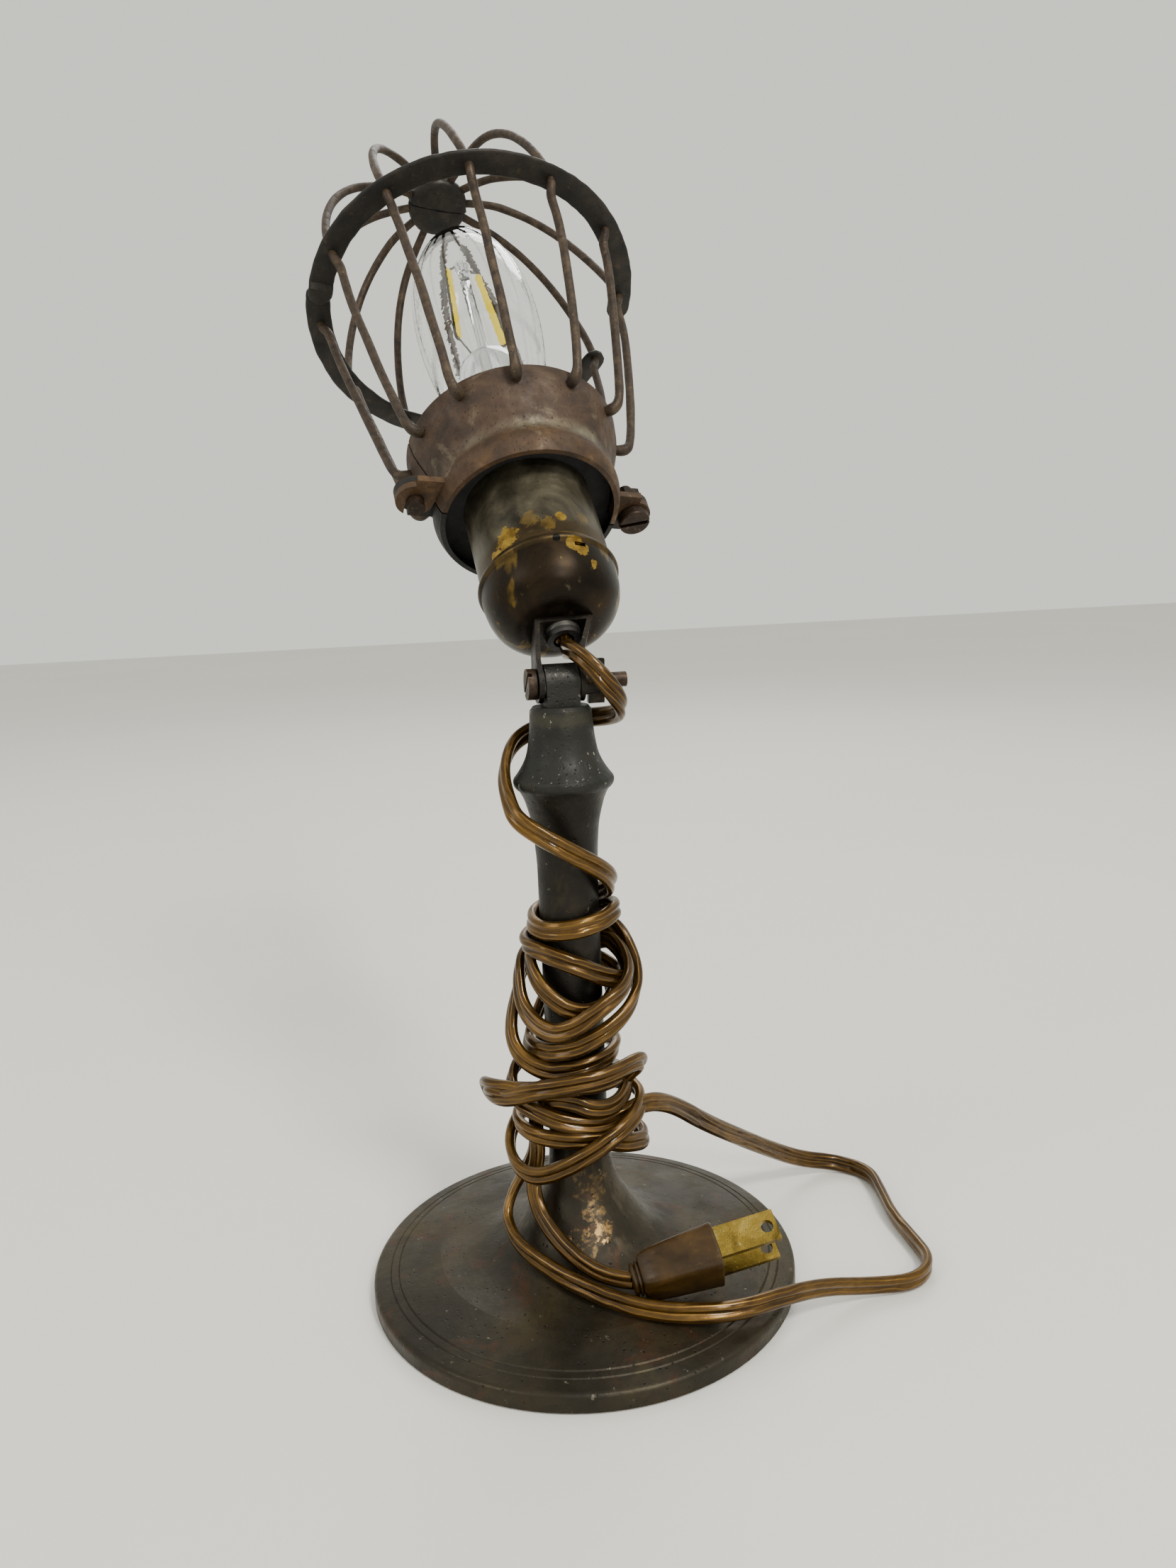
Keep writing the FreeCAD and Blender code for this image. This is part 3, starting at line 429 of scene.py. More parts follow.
TURNS_BACK = [
    (-90, 12.4, 40.6), (-115, 12.4, 44.4), (-155, 12.6, 45.6), (-205, 12.8, 44.2),
    (-243, 15.0, 41.8), (-264, 18.0, 40.4), (-282, 18.3, 40.2), (-304, 16.4, 42.4),
    (-331, 14.2, 45.0), (-353, 13.8, 45.8), (-382, 14.4, 46.2), (-415, 15.9, 46.6),
    (-440, 17.0, 47.4), (-462, 16.2, 48.4), (-500, 13.8, 49.6), (-545, 12.6, 51.0),
    (-590, 13.4, 52.6), (-620, 15.4, 54.0), (-639, 18.0, 53.0), (-660, 18.4, 51.4),
    (-686, 18.4, 48.2), (-708, 18.4, 44.8), (-728, 18.2, 41.2), (-750, 17.8, 37.4),
    (-768, 18.0, 35.6), (-785, 18.8, 36.2), (-801, 19.4, 39.2), (-812, 18.6, 43.2),
    (-830, 16.0, 47.4), (-860, 13.8, 51.0), (-900, 12.6, 54.2), (-945, 12.0, 57.0),
    (-990, 12.0, 59.2), (-1035, 12.6, 60.6), (-1080, 13.8, 61.4), (-1110, 15.8, 60.8),
    (-1135, 18.8, 59.6), (-1150, 22.0, 59.0), (-1158, 24.2, 58.6), (-1168, 25.0, 57.2),
    (-1168, 24.2, 56.0), (-1154, 22.4, 56.2), (-1140, 20.6, 57.6), (-1121, 19.0, 60.6),
    (-1100, 17.8, 62.6), (-1080, 17.0, 63.6), (-1059, 16.8, 64.0), (-1038, 17.0, 64.8),
    (-1020, 17.6, 65.2), (-1005, 18.4, 63.8), (-1000, 17.4, 61.4), (-998, 15.2, 59.2),
    (-997, 13.6, 56.8), (-1011, 13.9, 55.0), (-1030, 14.2, 54.0), (-1050, 14.2, 53.8),
    (-1067, 13.8, 54.8), (-1082, 13.2, 56.4), (-1105, 12.6, 56.8), (-1130, 12.4, 54.8),
    (-1148, 12.4, 50.4), (-1152, 12.2, 45.4), (-1146, 12.4, 41.4)]
WOUND_RADIUS, WOUND_TOP = 30.0, 150.0     # within these the cord lies round the column
KEY_STEP = 24.0           # most degrees between points of a wound turn, 15 to a turn
VIEW_SIDE = 258.4         # the camera's side of the column, degrees from +X
SIDE_PASSES = 12          # rounds of evening out which way the cord's flat side faces
ROLL, ROLL_TRAVEL = 14.0, 17.0     # degrees that the cord rolls to and fro, and over how much


def winding(keys):
    """Points of the wound turns, spaced round the column between the keys."""
    points = []
    for low, high in zip(keys, keys[1:] + keys[-1:]):
        steps = max(1, math.ceil(abs(high[0] - low[0]) / KEY_STEP))
        for i in range(steps):
            turn, radius, height = (a + (b - a) * i / steps for a, b in zip(low, high))
            angle = math.radians(VIEW_SIDE + turn)
            points.append((radius * math.cos(angle), radius * math.sin(angle), height))
    return points


def cord_section():
    """Outline of the flat cord, two round lobes with a groove, as (wide, thin) in mm."""
    half = []
    for degrees in range(-125, 126, 25):
        angle = math.radians(degrees)
        half.append((CORD_LOBE + CORD_THICKNESS / 2 * math.cos(angle),
                     CORD_THICKNESS / 2 * math.sin(angle)))
    half.append((0.0, CORD_GROOVE))
    return half + [(-w, -t) for w, t in half]


def cord_mesh(points, name):
    """The flat cord: its thin side faces the column where it is wound, else sideways."""
    section, directions, distance = cord_section(), tangents(points), travel(points)
    thins = []
    for point, along in zip(points, directions):
        wound = math.hypot(point.x, point.y) < WOUND_RADIUS * MM and point.z < WOUND_TOP * MM
        thin = Vector((point.x, point.y, 0)) if wound else along.cross(Vector((0, 0, 1)))
        thin = (thin - along * thin.dot(along)).normalized()
        if thins and thin.dot(thins[-1]) < 0:
            thin = -thin
        thins.append(thin)
    for _ in range(SIDE_PASSES):
        thins = [(thins[max(i - 1, 0)] + t * 2 + thins[min(i + 1, len(thins) - 1)]).normalized()
                 for i, t in enumerate(thins)]
    rows = []
    for point, along, thin, done in zip(points, directions, thins, distance):
        thin = (thin - along * thin.dot(along)).normalized()
        wide = thin.cross(along)
        roll = math.radians(ROLL) * math.sin(done / MM / ROLL_TRAVEL)
        w = wide * math.cos(roll) + thin * math.sin(roll)
        t = thin * math.cos(roll) - wide * math.sin(roll)
        rows.append([point + (w * a + t * b) * MM for a, b in section])
    mesh = skin_mesh(name, rows)
    length = mesh.attributes.new("along", "FLOAT", "POINT")
    around = mesh.attributes.new("around", "FLOAT", "POINT")
    count = len(section)
    length.data.foreach_set("value", [d / MM for d in distance for _ in range(count)])
    turn = [math.atan2(b, abs(a) - CORD_LOBE) * (1 if a > 0 else -1) for a, b in section]
    around.data.foreach_set("value", turn * len(rows))
    return mesh


def cord_material():
    """Clear amber insulation over copper strands; fine ridges run along the cord."""
    n = Nodes("cord_amber")
    around, along = n.attribute("around"), n.attribute("along")
    drift = n.times(n.noise(60.0, 2.0), 2.2)
    ridges = n.math("SINE", n.times(n.plus(around, drift), 7.0))
    lay = n.math("SINE", n.plus(n.times(along, 1.4), n.times(around, 3.0)))
    tone = n.ramp(n.noise(45.0, 4.0), (0.32, srgb(50, 33, 9)), (0.5, srgb(82, 57, 17)),
                  (0.68, srgb(116, 84, 28)))
    tone = n.mix(n.between(ridges, 0.2, 0.95), tone, srgb(160, 118, 42), 0.45)
    tone = n.mix(n.between(lay, 0.3, 1.0), tone, srgb(52, 36, 16), 0.12)
    grime = n.between(n.noise(160.0, 5.0), 0.54, 0.68)
    colour = n.mix(grime, tone, srgb(52, 40, 22), 0.3)
    n.set(Base_Color=colour, Metallic=0.75, IOR=1.5, Coat_Weight=0.22, Coat_Roughness=0.08,
          Roughness=n.ramp(n.noise(120.0, 3.0), (0.3, 0.22), (0.7, 0.40)))
    n.bump((ridges, 0.22, 0.2), (n.noise(220.0, 3.0), 0.2, 0.4), (lay, 0.05, 0.15))


def make_cord():
    row = NECK + winding(TURNS_OUT) + TABLE_LOOP + winding(TURNS_BACK) + TAIL
    points = spline_points([Vector(p) * MM for p in row], resolution=6)
    cord = new_object("flat_cord", cord_mesh(points, "flat_cord"), MATERIALS["cord_amber"])
    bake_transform(cord)
    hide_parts("cord_neck", "cord_winding_upper", "cord_winding_lower",
                "cord_table_loop", "cord_tail")


# ---- metals of the stand -----------------------------------------------------
def stand_bronze():
    """Dark patinated casting: near black column, browner foot, worn flare with a painted highlight
    on its front.
    """
    n = Nodes("stand_bronze")
    height = n.height()
    cloud = n.noise(28.0, 6.0, 0.62, 0.4)
    foot = n.ramp(cloud, (0.30, srgb(36, 32, 24)), (0.48, srgb(55, 48, 34)),
                  (0.60, srgb(68, 58, 37)), (0.74, srgb(62, 64, 50)))
    rust = n.between(n.noise(75.0, 5.0, 0.7, 0.8), 0.54, 0.68)
    foot = n.mix(rust, foot, srgb(84, 50, 28), 0.55)
    column = n.ramp(n.noise(50.0, 5.0, 0.7), (0.36, srgb(17, 14, 11)), (0.56, srgb(30, 25, 18)),
                    (0.72, srgb(50, 42, 30)))
    ragged = n.plus(height, n.times(n.noise(55.0, 4.0), 26.0))
    colour = n.mix(n.between(ragged, 44.0, 62.0), foot, column)
    pits = n.between(n.cells(420.0), 0.02, 0.20)
    colour = n.mix(pits, srgb(22, 18, 12), colour)
    fine = n.between(n.noise(260.0, 5.0, 0.75), 0.50, 0.66)
    colour = n.mix(fine, colour, srgb(34, 33, 24), 0.35)
    flecks = n.between(n.noise(340.0, 3.0, 0.7), 0.66, 0.74)
    colour = n.mix(flecks, colour, srgb(150, 144, 126), 0.5)
    flare = n.band(height, 15.0, 46.0, 4.0)
    runs = n.between(n.noise(150.0, 3.0, place=n.stretched(1.0, 1.0, 0.12)), 0.56, 0.7)
    colour = n.mix(n.times(n.times(runs, 0.5), flare), colour, srgb(104, 94, 74))
    mottle = n.noise(520.0, 4.0, 0.7)
    spots = n.between(mottle, 0.46, 0.56)
    # Painted highlight on the front of the flare: spots of gold mottle, less rough than the rest.
    rubbed_and_highlight = n.either(n.spot(STAND, (1.7, -15.1, 20.0), 4.0, 0.9, 300.0),
                      n.times(n.spot(STAND, (0.9, -12.6, 24.0), 3.4, 0.9, 300.0), 0.5),
                      n.times(n.spot(STAND, (-4.0, -16.0, 17.6), 5.0, 0.9, 300.0), 0.4),
                      n.times(n.spot(STAND, (0.6, -10.2, 30.0), 5.0, 0.9, 300.0), 0.3))
    worn_and_highlight = n.times(rubbed_and_highlight, n.plus(n.times(spots, 0.6), 0.15))
    colour = n.mix(worn_and_highlight, colour, n.ramp(mottle, (0.46, srgb(112, 84, 52)),
                                        (0.62, srgb(188, 150, 88))))
    green = n.between(n.noise(34.0, 5.0, 0.7, 0.5), 0.56, 0.66)
    colour = n.mix(green, colour, srgb(92, 84, 46), 0.22)
    dull = n.ramp(n.noise(90.0, 5.0), (0.3, 0.34), (0.5, 0.46), (0.72, 0.62))
    n.set(Base_Color=colour, Metallic=0.62, Roughness=n.mix(worn_and_highlight, dull, (0.24, 0.24, 0.24)))
    n.bump((n.noise(60.0, 5.0, 0.6), 0.35, 1.2), (n.noise(420.0, 4.0), 0.3, 0.3),
           (pits, 0.5, 0.25))


def knuckle_bronze():
    """Grey-green bronze with pale specks, darker round the joint."""
    n = Nodes("knuckle_bronze")
    height = n.height()
    colour = n.ramp(n.noise(95.0, 6.0, 0.66, 0.5), (0.30, srgb(17, 18, 14)),
                    (0.48, srgb(26, 27, 21)), (0.60, srgb(34, 33, 25)), (0.72, srgb(44, 41, 32)))
    pale = n.between(n.noise(520.0, 3.0, 0.75, place=n.stretched(1.0, 1.0, 0.6)), 0.64, 0.70)
    colour = n.mix(pale, colour, srgb(168, 168, 152), 0.75)
    pits = n.between(n.cells(640.0), 0.04, 0.24)
    colour = n.mix(pits, srgb(20, 19, 14), colour)
    ragged = n.plus(height, n.times(n.noise(300.0, 4.0), 4.0))
    colour = n.mix(n.band(ragged, 157.5, 160.5, 0.8), colour, srgb(104, 98, 74), 0.15)
    colour = n.mix(n.between(ragged, 161.0, 164.0), colour, srgb(22, 19, 14), 0.65)
    n.set(Base_Color=colour, Metallic=0.4,
          Roughness=n.ramp(n.noise(180.0, 4.0), (0.3, 0.42), (0.7, 0.68)))
    n.bump((n.noise(130.0, 5.0), 0.5, 0.9), (n.noise(700.0, 4.0), 0.4, 0.3), (pits, 0.6, 0.3))


def worn_metal(name, darkest, usual, palest, worn_and_highlight, metallic=0.6, rough=(0.35, 0.6), scale=180.0,
               pit=700.0):
    """Old metal in three tones of cloud, with pits and small bright rubbed places."""
    n = Nodes(name)
    colour = n.ramp(n.noise(scale, 6.0, 0.66, 0.5), (0.32, srgb(*darkest)),
                    (0.52, srgb(*usual)), (0.70, srgb(*palest)))
    rubbed_and_highlight = n.between(n.noise(scale * 3.1, 4.0, 0.7), 0.60, 0.70)
    colour = n.mix(rubbed_and_highlight, colour, srgb(*worn_and_highlight), 0.55)
    pits = n.between(n.cells(pit), 0.03, 0.22)
    colour = n.mix(pits, srgb(*[v * 0.35 for v in darkest]), colour)
    n.set(Base_Color=colour, Metallic=metallic,
          Roughness=n.ramp(n.noise(scale * 1.7, 4.0), (0.3, rough[0]), (0.7, rough[1])))
    n.bump((n.noise(scale * 1.3, 5.0), 0.4, 0.5), (n.noise(1500.0, 3.0), 0.25, 0.12),
           (pits, 0.5, 0.15))


# ---- lampholder --------------------------------------------------------------
# Places rubbed to gold on the lampholder, with painted highlights among them (the three small
# spots on the front of the shell and cap): place, radius, raggedness and grain.
GOLD_AND_HIGHLIGHT_SPOTS = [
    ((-11.8, -13.9, 38.1), 3.6, 0.6, 620.0), ((-14.9, -10.4, 35.1), 2.2, 0.7, 700.0),
    ((2.8, -18.0, 40.7), 1.7, 0.3), ((4.2, -18.4, 30.6), 2.6, 0.3), ((6.0, -17.6, 29.2), 2.2, 0.5),
    ((12.5, 13.2, 38.5), 3.0, 0.7), ((-16.0, 8.6, 41.0), 2.6, 0.7), ((9.0, -16.5, 25.0), 1.6, 0.7)]
FAINT_SPOTS = [((9.4, -15.6, 41.6), 2.2, 0.8, 900.0), ((-5.6, -17.4, 41.2), 2.6, 0.9, 900.0),
               ((-1.0, -18.3, 38.4), 2.4, 0.9, 900.0)]


def holder_bronze():
    """Spun brass under dark lacquer, worn to gold in patches, with painted highlights on its front
    and a painted shade spot for a notch; the cap is browner.
    """
    n = Nodes("holder_bronze")
    s = n.up_axis(HEAD)
    cloud = n.noise(70.0, 6.0, 0.62, 0.6)
    shell = n.ramp(cloud, (0.30, srgb(50, 47, 40)), (0.46, srgb(84, 78, 64)),
                   (0.60, srgb(112, 105, 86)), (0.74, srgb(148, 142, 122)))
    cap = n.ramp(cloud, (0.30, srgb(16, 11, 6)), (0.50, srgb(32, 23, 11)),
                 (0.72, srgb(54, 39, 18)))
    bead = n.ramp(cloud, (0.30, srgb(52, 40, 23)), (0.70, srgb(90, 73, 42)))
    ragged = n.plus(s, n.times(n.noise(120.0, 3.0), 5.0))
    colour = n.mix(n.between(ragged, 33.0, 35.6), cap, bead)
    colour = n.mix(n.between(ragged, 40.6, 43.6), colour, shell)
    streaks = n.noise(60.0, 3.0, 0.5, 1.8, place=n.stretched(1.6, 1.0, 0.55))
    low = n.times(n.between(streaks, 0.60, 0.66), n.band(s, 17.0, 32.0, 3.0))
    # Gold worn patches, together with painted highlights on the front.
    gold_and_highlight = n.either(*[n.spot(HEAD, *spot) for spot in GOLD_AND_HIGHLIGHT_SPOTS])
    ring = n.times(n.band(s, 34.4, 35.2, 0.25), n.between(n.noise(60.0, 3.0), 0.5, 0.6))
    faint = n.either(*[n.spot(HEAD, *spot) for spot in FAINT_SPOTS])
    bright = n.either(gold_and_highlight, n.times(low, 0.32), n.times(faint, 0.3), ring)
    colour = n.mix(bright, colour, n.ramp(n.noise(300.0, 4.0), (0.36, srgb(124, 94, 32)),
                                          (0.6, srgb(190, 154, 62))))
    grain = n.noise(26.0, 4.0, place=n.stretched(1.0, 1.0, 14.0))
    pale = n.between(n.noise(210.0, 5.0, 0.75), 0.60, 0.72)
    colour = n.mix(pale, colour, srgb(126, 118, 94), 0.35)
    pits = n.between(n.cells(520.0), 0.02, 0.14)
    colour = n.mix(pits, srgb(16, 12, 8), colour)
    # Painted shade: a near-black spot for the dark inside of a notch.
    notch_shade = n.spot(HEAD, (-0.4, -19.1, 32.2), 1.2, 0.1)
    colour = n.mix(notch_shade, colour, srgb(8, 7, 5))
    n.set(Base_Color=colour, Metallic=0.8,
          Roughness=n.mix(bright, n.ramp(cloud, (0.3, 0.30), (0.7, 0.46)), (0.2, 0.2, 0.2)))
    n.bump((n.noise(40.0, 3.0), 0.25, 0.8), (grain, 0.08, 0.2), (n.noise(600.0, 3.0), 0.12, 0.15))


# ---- guard -------------------------------------------------------------------
def collar_steel(name, rear):
    """Rusty pressed steel with a painted highlight round the waist, strongest on the front; the
    rear half's flange is painted dark as shade.
    """
    n = Nodes(name)
    s = n.plus(n.up_axis(GUARD), n.times(n.noise(90.0, 4.0), 2.4))
    rust = n.ramp(n.noise(85.0, 6.0, 0.68, 0.5), (0.30, srgb(38, 26, 17)),
                  (0.46, srgb(62, 44, 30)), (0.60, srgb(82, 62, 44)), (0.74, srgb(108, 92, 70)))
    flank = n.ramp(n.noise(140.0, 5.0, 0.7), (0.32, srgb(50, 34, 19)), (0.55, srgb(80, 56, 31)),
                   (0.72, srgb(114, 86, 52)))
    colour = n.mix(n.between(s, 66.4, 68.2), flank, rust)
    # Painted highlight: a pale steel band round the waist, strongest on the front, where the metal
    # is also shinier.
    steel = n.ramp(n.noise(150.0, 5.0), (0.30, srgb(108, 98, 80)), (0.60, srgb(156, 146, 124)))
    rubbed_and_highlight = n.times(n.band(s, 66.8, 70.4, 1.5), n.between(n.noise(75.0, 5.0, 0.7), 0.30, 0.62))
    facing_highlight = n.spot(GUARD, (4.0, -26.5, 69.0), 15.0, 0.7, 90.0)
    rubbed_and_highlight = n.times(rubbed_and_highlight, n.plus(n.times(facing_highlight, 0.7), 0.3))
    colour = n.mix(rubbed_and_highlight, colour, steel)
    patches = n.between(n.noise(170.0, 5.0, 0.72, 0.4), 0.55, 0.68)
    colour = n.mix(patches, colour, srgb(74, 50, 36), 0.6)
    grey = n.between(n.noise(120.0, 4.0, 0.7, 0.6, place=n.stretched(1.0, 1.0, 0.8)), 0.58, 0.70)
    colour = n.mix(grey, colour, srgb(132, 120, 98), 0.4)
    pits = n.between(n.cells(620.0), 0.03, 0.24)
    colour = n.mix(pits, srgb(44, 28, 18), colour)
    # Painted shade: the rear half is made near black below the waist.
    if rear:
        colour = n.mix(n.between(s, 66.0, 69.0), srgb(22, 20, 17), colour)
    n.set(Base_Color=colour, Roughness=n.mix(rubbed_and_highlight, n.ramp(
        n.noise(260.0, 4.0), (0.3, 0.5), (0.7, 0.74)), (0.30, 0.30, 0.30)),
        Metallic=n.mix(rubbed_and_highlight, (0.28, 0.28, 0.28), (0.85, 0.85, 0.85)))
    n.bump((n.noise(150.0, 5.0), 0.4, 0.7), (n.noise(900.0, 4.0), 0.35, 0.2), (pits, 0.5, 0.2))


WIRE_SIDES = 14


def tube_rows(points, radii):
    """Rings of a round tube along a line of points, with a radius for each."""
    side, rings = None, []
    for point, along, size in zip(points, tangents(points), radii):
        side = side or along.orthogonal()
        side = (side - along * side.dot(along)).normalized()
        other = along.cross(side)
        turns = [2 * math.pi * i / WIRE_SIDES for i in range(WIRE_SIDES)]
        rings.append([point + (side * math.cos(t) + other * math.sin(t)) * size for t in turns])
    return rings


WIRE_RADIUS = 1.3
WIRE_FIRST, WIRE_STEP, WIRES_PER_HALF = 15.0, 30.0, 6
WIRE_ROUTE = [
    (27.6, 86.0), (27.6, 83.4), (28.4, 81.0), (31.4, 79.8), (34.0, 80.2), (35.6, 83.6),
    (37.4, 91.0), (39.9, 103.0), (42.4, 116.0), (44.6, 128.0), (45.8, 137.0), (46.0, 142.6),
    (46.6, 145.8), (47.8, 147.4), (48.3, 149.8), (48.2, 153.0), (47.6, 161.0), (44.6, 173.0),
    (39.8, 184.4), (33.2, 194.0), (25.2, 200.4), (17.0, 203.8), (8.4, 205.2)]
HUB_LEAN, LEAN_START, HUB_MIDDLE = -2.6, 150.0, 205.2     # the guard's nose leans over
FREE_WIRE = (6, 10)       # places of the route between collar and hoop that stray
BOW_WIRE = (16, 20)       # and between hoop and hub
COLLAR_POINT, HOOP_POINT = 21, 80     # where the finished line meets the collar and the hoop
COLLAR_SWELL, COLLAR_REACH = 0.30, 2.4     # how much thicker a wire is there, and over how far
HOOP_SWELL, HOOP_REACH = 0.10, 2.0


def bow(i, span):
    """How far place i of the route lies into a span: 0 outside it, up to 1 in its middle."""
    first, last = span
    if not first <= i <= last:
        return 0.0
    return math.sin(math.pi * (i - first + 1) / (last - first + 2))


def bent_wire(angle, dice):
    """One guard wire with bends and wobbles of its own, in the guard's frame."""
    sway, bulge = dice.uniform(-1.6, 1.6), dice.uniform(-0.9, 1.1)
    kink, high_sway = dice.uniform(-0.9, 0.9), dice.uniform(-3.4, 3.4)
    line = []
    for i, (rho, s) in enumerate(WIRE_ROUTE):
        free, high = bow(i, FREE_WIRE), bow(i, BOW_WIRE)
        aside = sway * free + high_sway * high
        if free:
            aside += kink * (0.5 - i % 2) * 0.5
        out = bulge * (free - high)
        place = Matrix.Rotation(math.radians(angle), 4, "Z") @ Vector((rho + out, aside, s))
        place.x += HUB_LEAN * max(0.0, (s - LEAN_START) / (HUB_MIDDLE - LEAN_START))
        line.append(GUARD @ place)
    return spline_points(line, resolution=7)


def guard_wires(name, side, body, seed):
    dice = random.Random(seed)
    tubes = []
    for i in range(WIRES_PER_HALF):
        line = bent_wire(side * (WIRE_FIRST + WIRE_STEP * i), dice)
        shift = dice.uniform(0, 50)
        sizes = []
        for j, point in enumerate(line):
            foot = math.exp(-((point - line[COLLAR_POINT]).length / MM / COLLAR_REACH) ** 2)
            hook = math.exp(-((point - line[HOOP_POINT]).length / MM / HOOP_REACH) ** 2)
            rough = 0.07 * wobble(j * 0.17 + shift, i, seed)
            sizes.append(WIRE_RADIUS * (1 + COLLAR_SWELL * foot + HOOP_SWELL * hook + rough) * MM)
        tubes.append(tube_rows(line, sizes))
    wires = new_object(name, skin_mesh(name, *tubes), MATERIALS["rusty_wire"])
    finish_piece(wires, body, "rusty_wire", name[:-6])


HOOP_OUTER, HOOP_WIDTH, HOOP_THICK, HOOP_S = 52.3, 7.5, 1.4, 150.25
HOOP_STEP = 1.5           # degrees between the rows of the hoop's skin
END_ROUNDING = 3.8        # length over which the hoop's ends are rounded
LAP_DROP = 1.5            # how far the hoop's lapped end steps down


def hoop_strip(name, low, high, lap, body, seed):
    """Flat ring half, a little wavy, with rounded ends and edges; lap steps down."""
    section = []
    for a, b in ((1, 1), (-1, 1), (-1, -1), (1, -1)):
        for turn in (0, 30, 60, 90) if a * b > 0 else (90, 60, 30, 0):
            angle = math.radians(turn)
            section.append((a * (0.5 - 0.085 * (1 - math.cos(angle))),
                            b * (0.5 - 0.45 * (1 - math.sin(angle)))))
    count = round((high - low) / HOOP_STEP)
    rows = []
    for i in range(count + 1):
        turn = low + (high - low) * i / count
        edge = min(turn - low, high - turn) * math.radians(1) * HOOP_OUTER
        share = min(edge / END_ROUNDING, 1.0)
        width = HOOP_WIDTH * max(0.3, math.sqrt(1 - (1 - share) ** 2))
        middle = HOOP_OUTER - HOOP_WIDTH / 2 + 0.35 * wobble(turn * 0.03, seed, 0)
        level = HOOP_S + 0.45 * wobble(turn * 0.025, seed, 7)
        if lap is not None:
            step = min(max((lap[0] - turn) / lap[1], 0.0), 1.0)
            level -= step * step * (3 - 2 * step) * LAP_DROP
        tilt = 0.55 * wobble(turn * 0.04, seed, 3)
        angle = math.radians(turn)
        ring = []
        for w, t in section:
            rho = middle + w * width + 0.2 * wobble(turn * 0.3, w * 3, seed)
            ring.append(GUARD @ Vector((rho * math.cos(angle), rho * math.sin(angle),
                                        level + t * HOOP_THICK + w * tilt)))
        rows.append(ring)
    strip = new_object(name, skin_mesh(name, rows), MATERIALS["hoop_black"])
    finish_piece(strip, body, "hoop_black", name[:-6])


# Profile of the hub: radius and height along the head's axis.
HUB_PROFILE = [
    (0.0, 201.9), (4.0, 202.1), (7.4, 202.4), (9.0, 202.6), (9.8, 203.2), (10.1, 204.2),
    (9.9, 206.6), (9.2, 208.0), (8.0, 208.6), (4.0, 208.9), (0.0, 209.0)]
HUB_STEPS = 18
HUB_GAP = 0.35            # between the middle of the hub and the flat side of either half


def hub_disc(name, front, body):
    """Half of the hub, with rounded rims."""
    low, high, gap = (181.0, 359.0, -HUB_GAP) if front else (1.0, 179.0, HUB_GAP)
    rows = []
    for i in range(HUB_STEPS + 1):
        a = math.radians(low + (high - low) * i / HUB_STEPS)
        row = [Vector((0, gap, HUB_PROFILE[0][1]))]
        for rho, s in HUB_PROFILE[1:-1]:
            rho *= 1 + 0.07 * wobble(i * 0.7, s * 0.4, 1)
            row.append(Vector((rho * math.cos(a), rho * math.sin(a) + gap * 0.2, s)))
        row.append(Vector((0, gap, HUB_PROFILE[-1][1])))
        rows.append([GUARD @ (p + Vector((HUB_LEAN, 0, 0))) for p in row])
    made = skin_mesh(name, rows)
    weld = bmesh.new()
    weld.from_mesh(made)
    bmesh.ops.remove_doubles(weld, verts=weld.verts, dist=1e-6)
    bmesh.ops.recalc_face_normals(weld, faces=weld.faces)
    weld.to_mesh(made)
    weld.free()
    disc = new_object(name, made, MATERIALS["hoop_black"])
    finish_piece(disc, body, "hoop_black", name[:-6])


# ---- bulb --------------------------------------------------------------------
def clear_glass(name, tint, roughness, frosted_below=None):
    """Clear glass; below a height along the head's axis it may be silvery."""
    n = Nodes(name)
    smear = n.noise(60.0, 3.0, 0.5, 0.8)
    n.set(Base_Color=tint, Transmission_Weight=1.0, IOR=1.42,
          Roughness=n.ramp(smear, (0.4, roughness), (0.7, roughness + 0.03)))
    if frosted_below is not None:
        clear = n.between(n.up_axis(HEAD), frosted_below - 5.0, frosted_below + 1.0)
        n.set(Transmission_Weight=n.ramp(clear, (0.0, 0.35), (1.0, 1.0)),
              Metallic=n.ramp(clear, (0.0, 0.5), (1.0, 0.0)))
    n.bump((n.noise(22.0, 2.0), 0.10, 1.0), (smear, 0.04, 0.5))


def filament_glow():
    """Yellow phosphor with a painted glow, and faint segments along it."""
    n = Nodes("filament_phosphor")
    beads = n.noise(700.0, 2.0)
    colour = n.ramp(beads, (0.3, (1.0, 0.72, 0.0)), (0.7, (1.0, 0.84, 0.0)))
    n.set(Base_Color=srgb(120, 90, 4), Roughness=0.5, Emission_Color=colour, Emission_Strength=0.9)
    n.bump((beads, 0.3, 0.2),)


FILAMENT_LOW, FILAMENT_HIGH = 134.0, 168.5
FILAMENT_RHO, FILAMENT_LEAN = 7.6, -2.4
FILAMENT_ANGLES = (12.0, 192.0)
FILAMENT_SIDES = 12
# Rounded ends of a strip: share of its length, and of its section.
FILAMENT_ENDS = [(0.0, 0.6), (0.02, 0.92), (0.05, 1.0), (0.5, 1.0), (0.95, 1.0), (0.98, 0.92),
                 (1.0, 0.6)]
# Half width and depths of the phosphor and of its carrier, with piece, material and slot.
FILAMENT_LAYERS = [(1.15, 0.0, 0.95, "filament_strips", "filament_phosphor", "filament"),
                   (1.3, -0.95, -0.02, "filament_backs", "filament_back", "steel")]


def filament_line(angle):
    """Ends of one filament, and the directions across it and towards its lit side."""
    top = FILAMENT_RHO + FILAMENT_LEAN
    low = Vector((FILAMENT_RHO * math.cos(angle), FILAMENT_RHO * math.sin(angle), FILAMENT_LOW))
    high = Vector((top * math.cos(angle), top * math.sin(angle), FILAMENT_HIGH))
    line = (high - low).normalized()
    outward = Vector((-math.sin(angle), math.cos(angle), 0)).cross(line)
    lit = (Vector((0, -1, 0)) * 0.75 - outward * 0.66).normalized()
    lit = (lit - line * lit.dot(line)).normalized()
    return low, high, line.cross(lit), lit


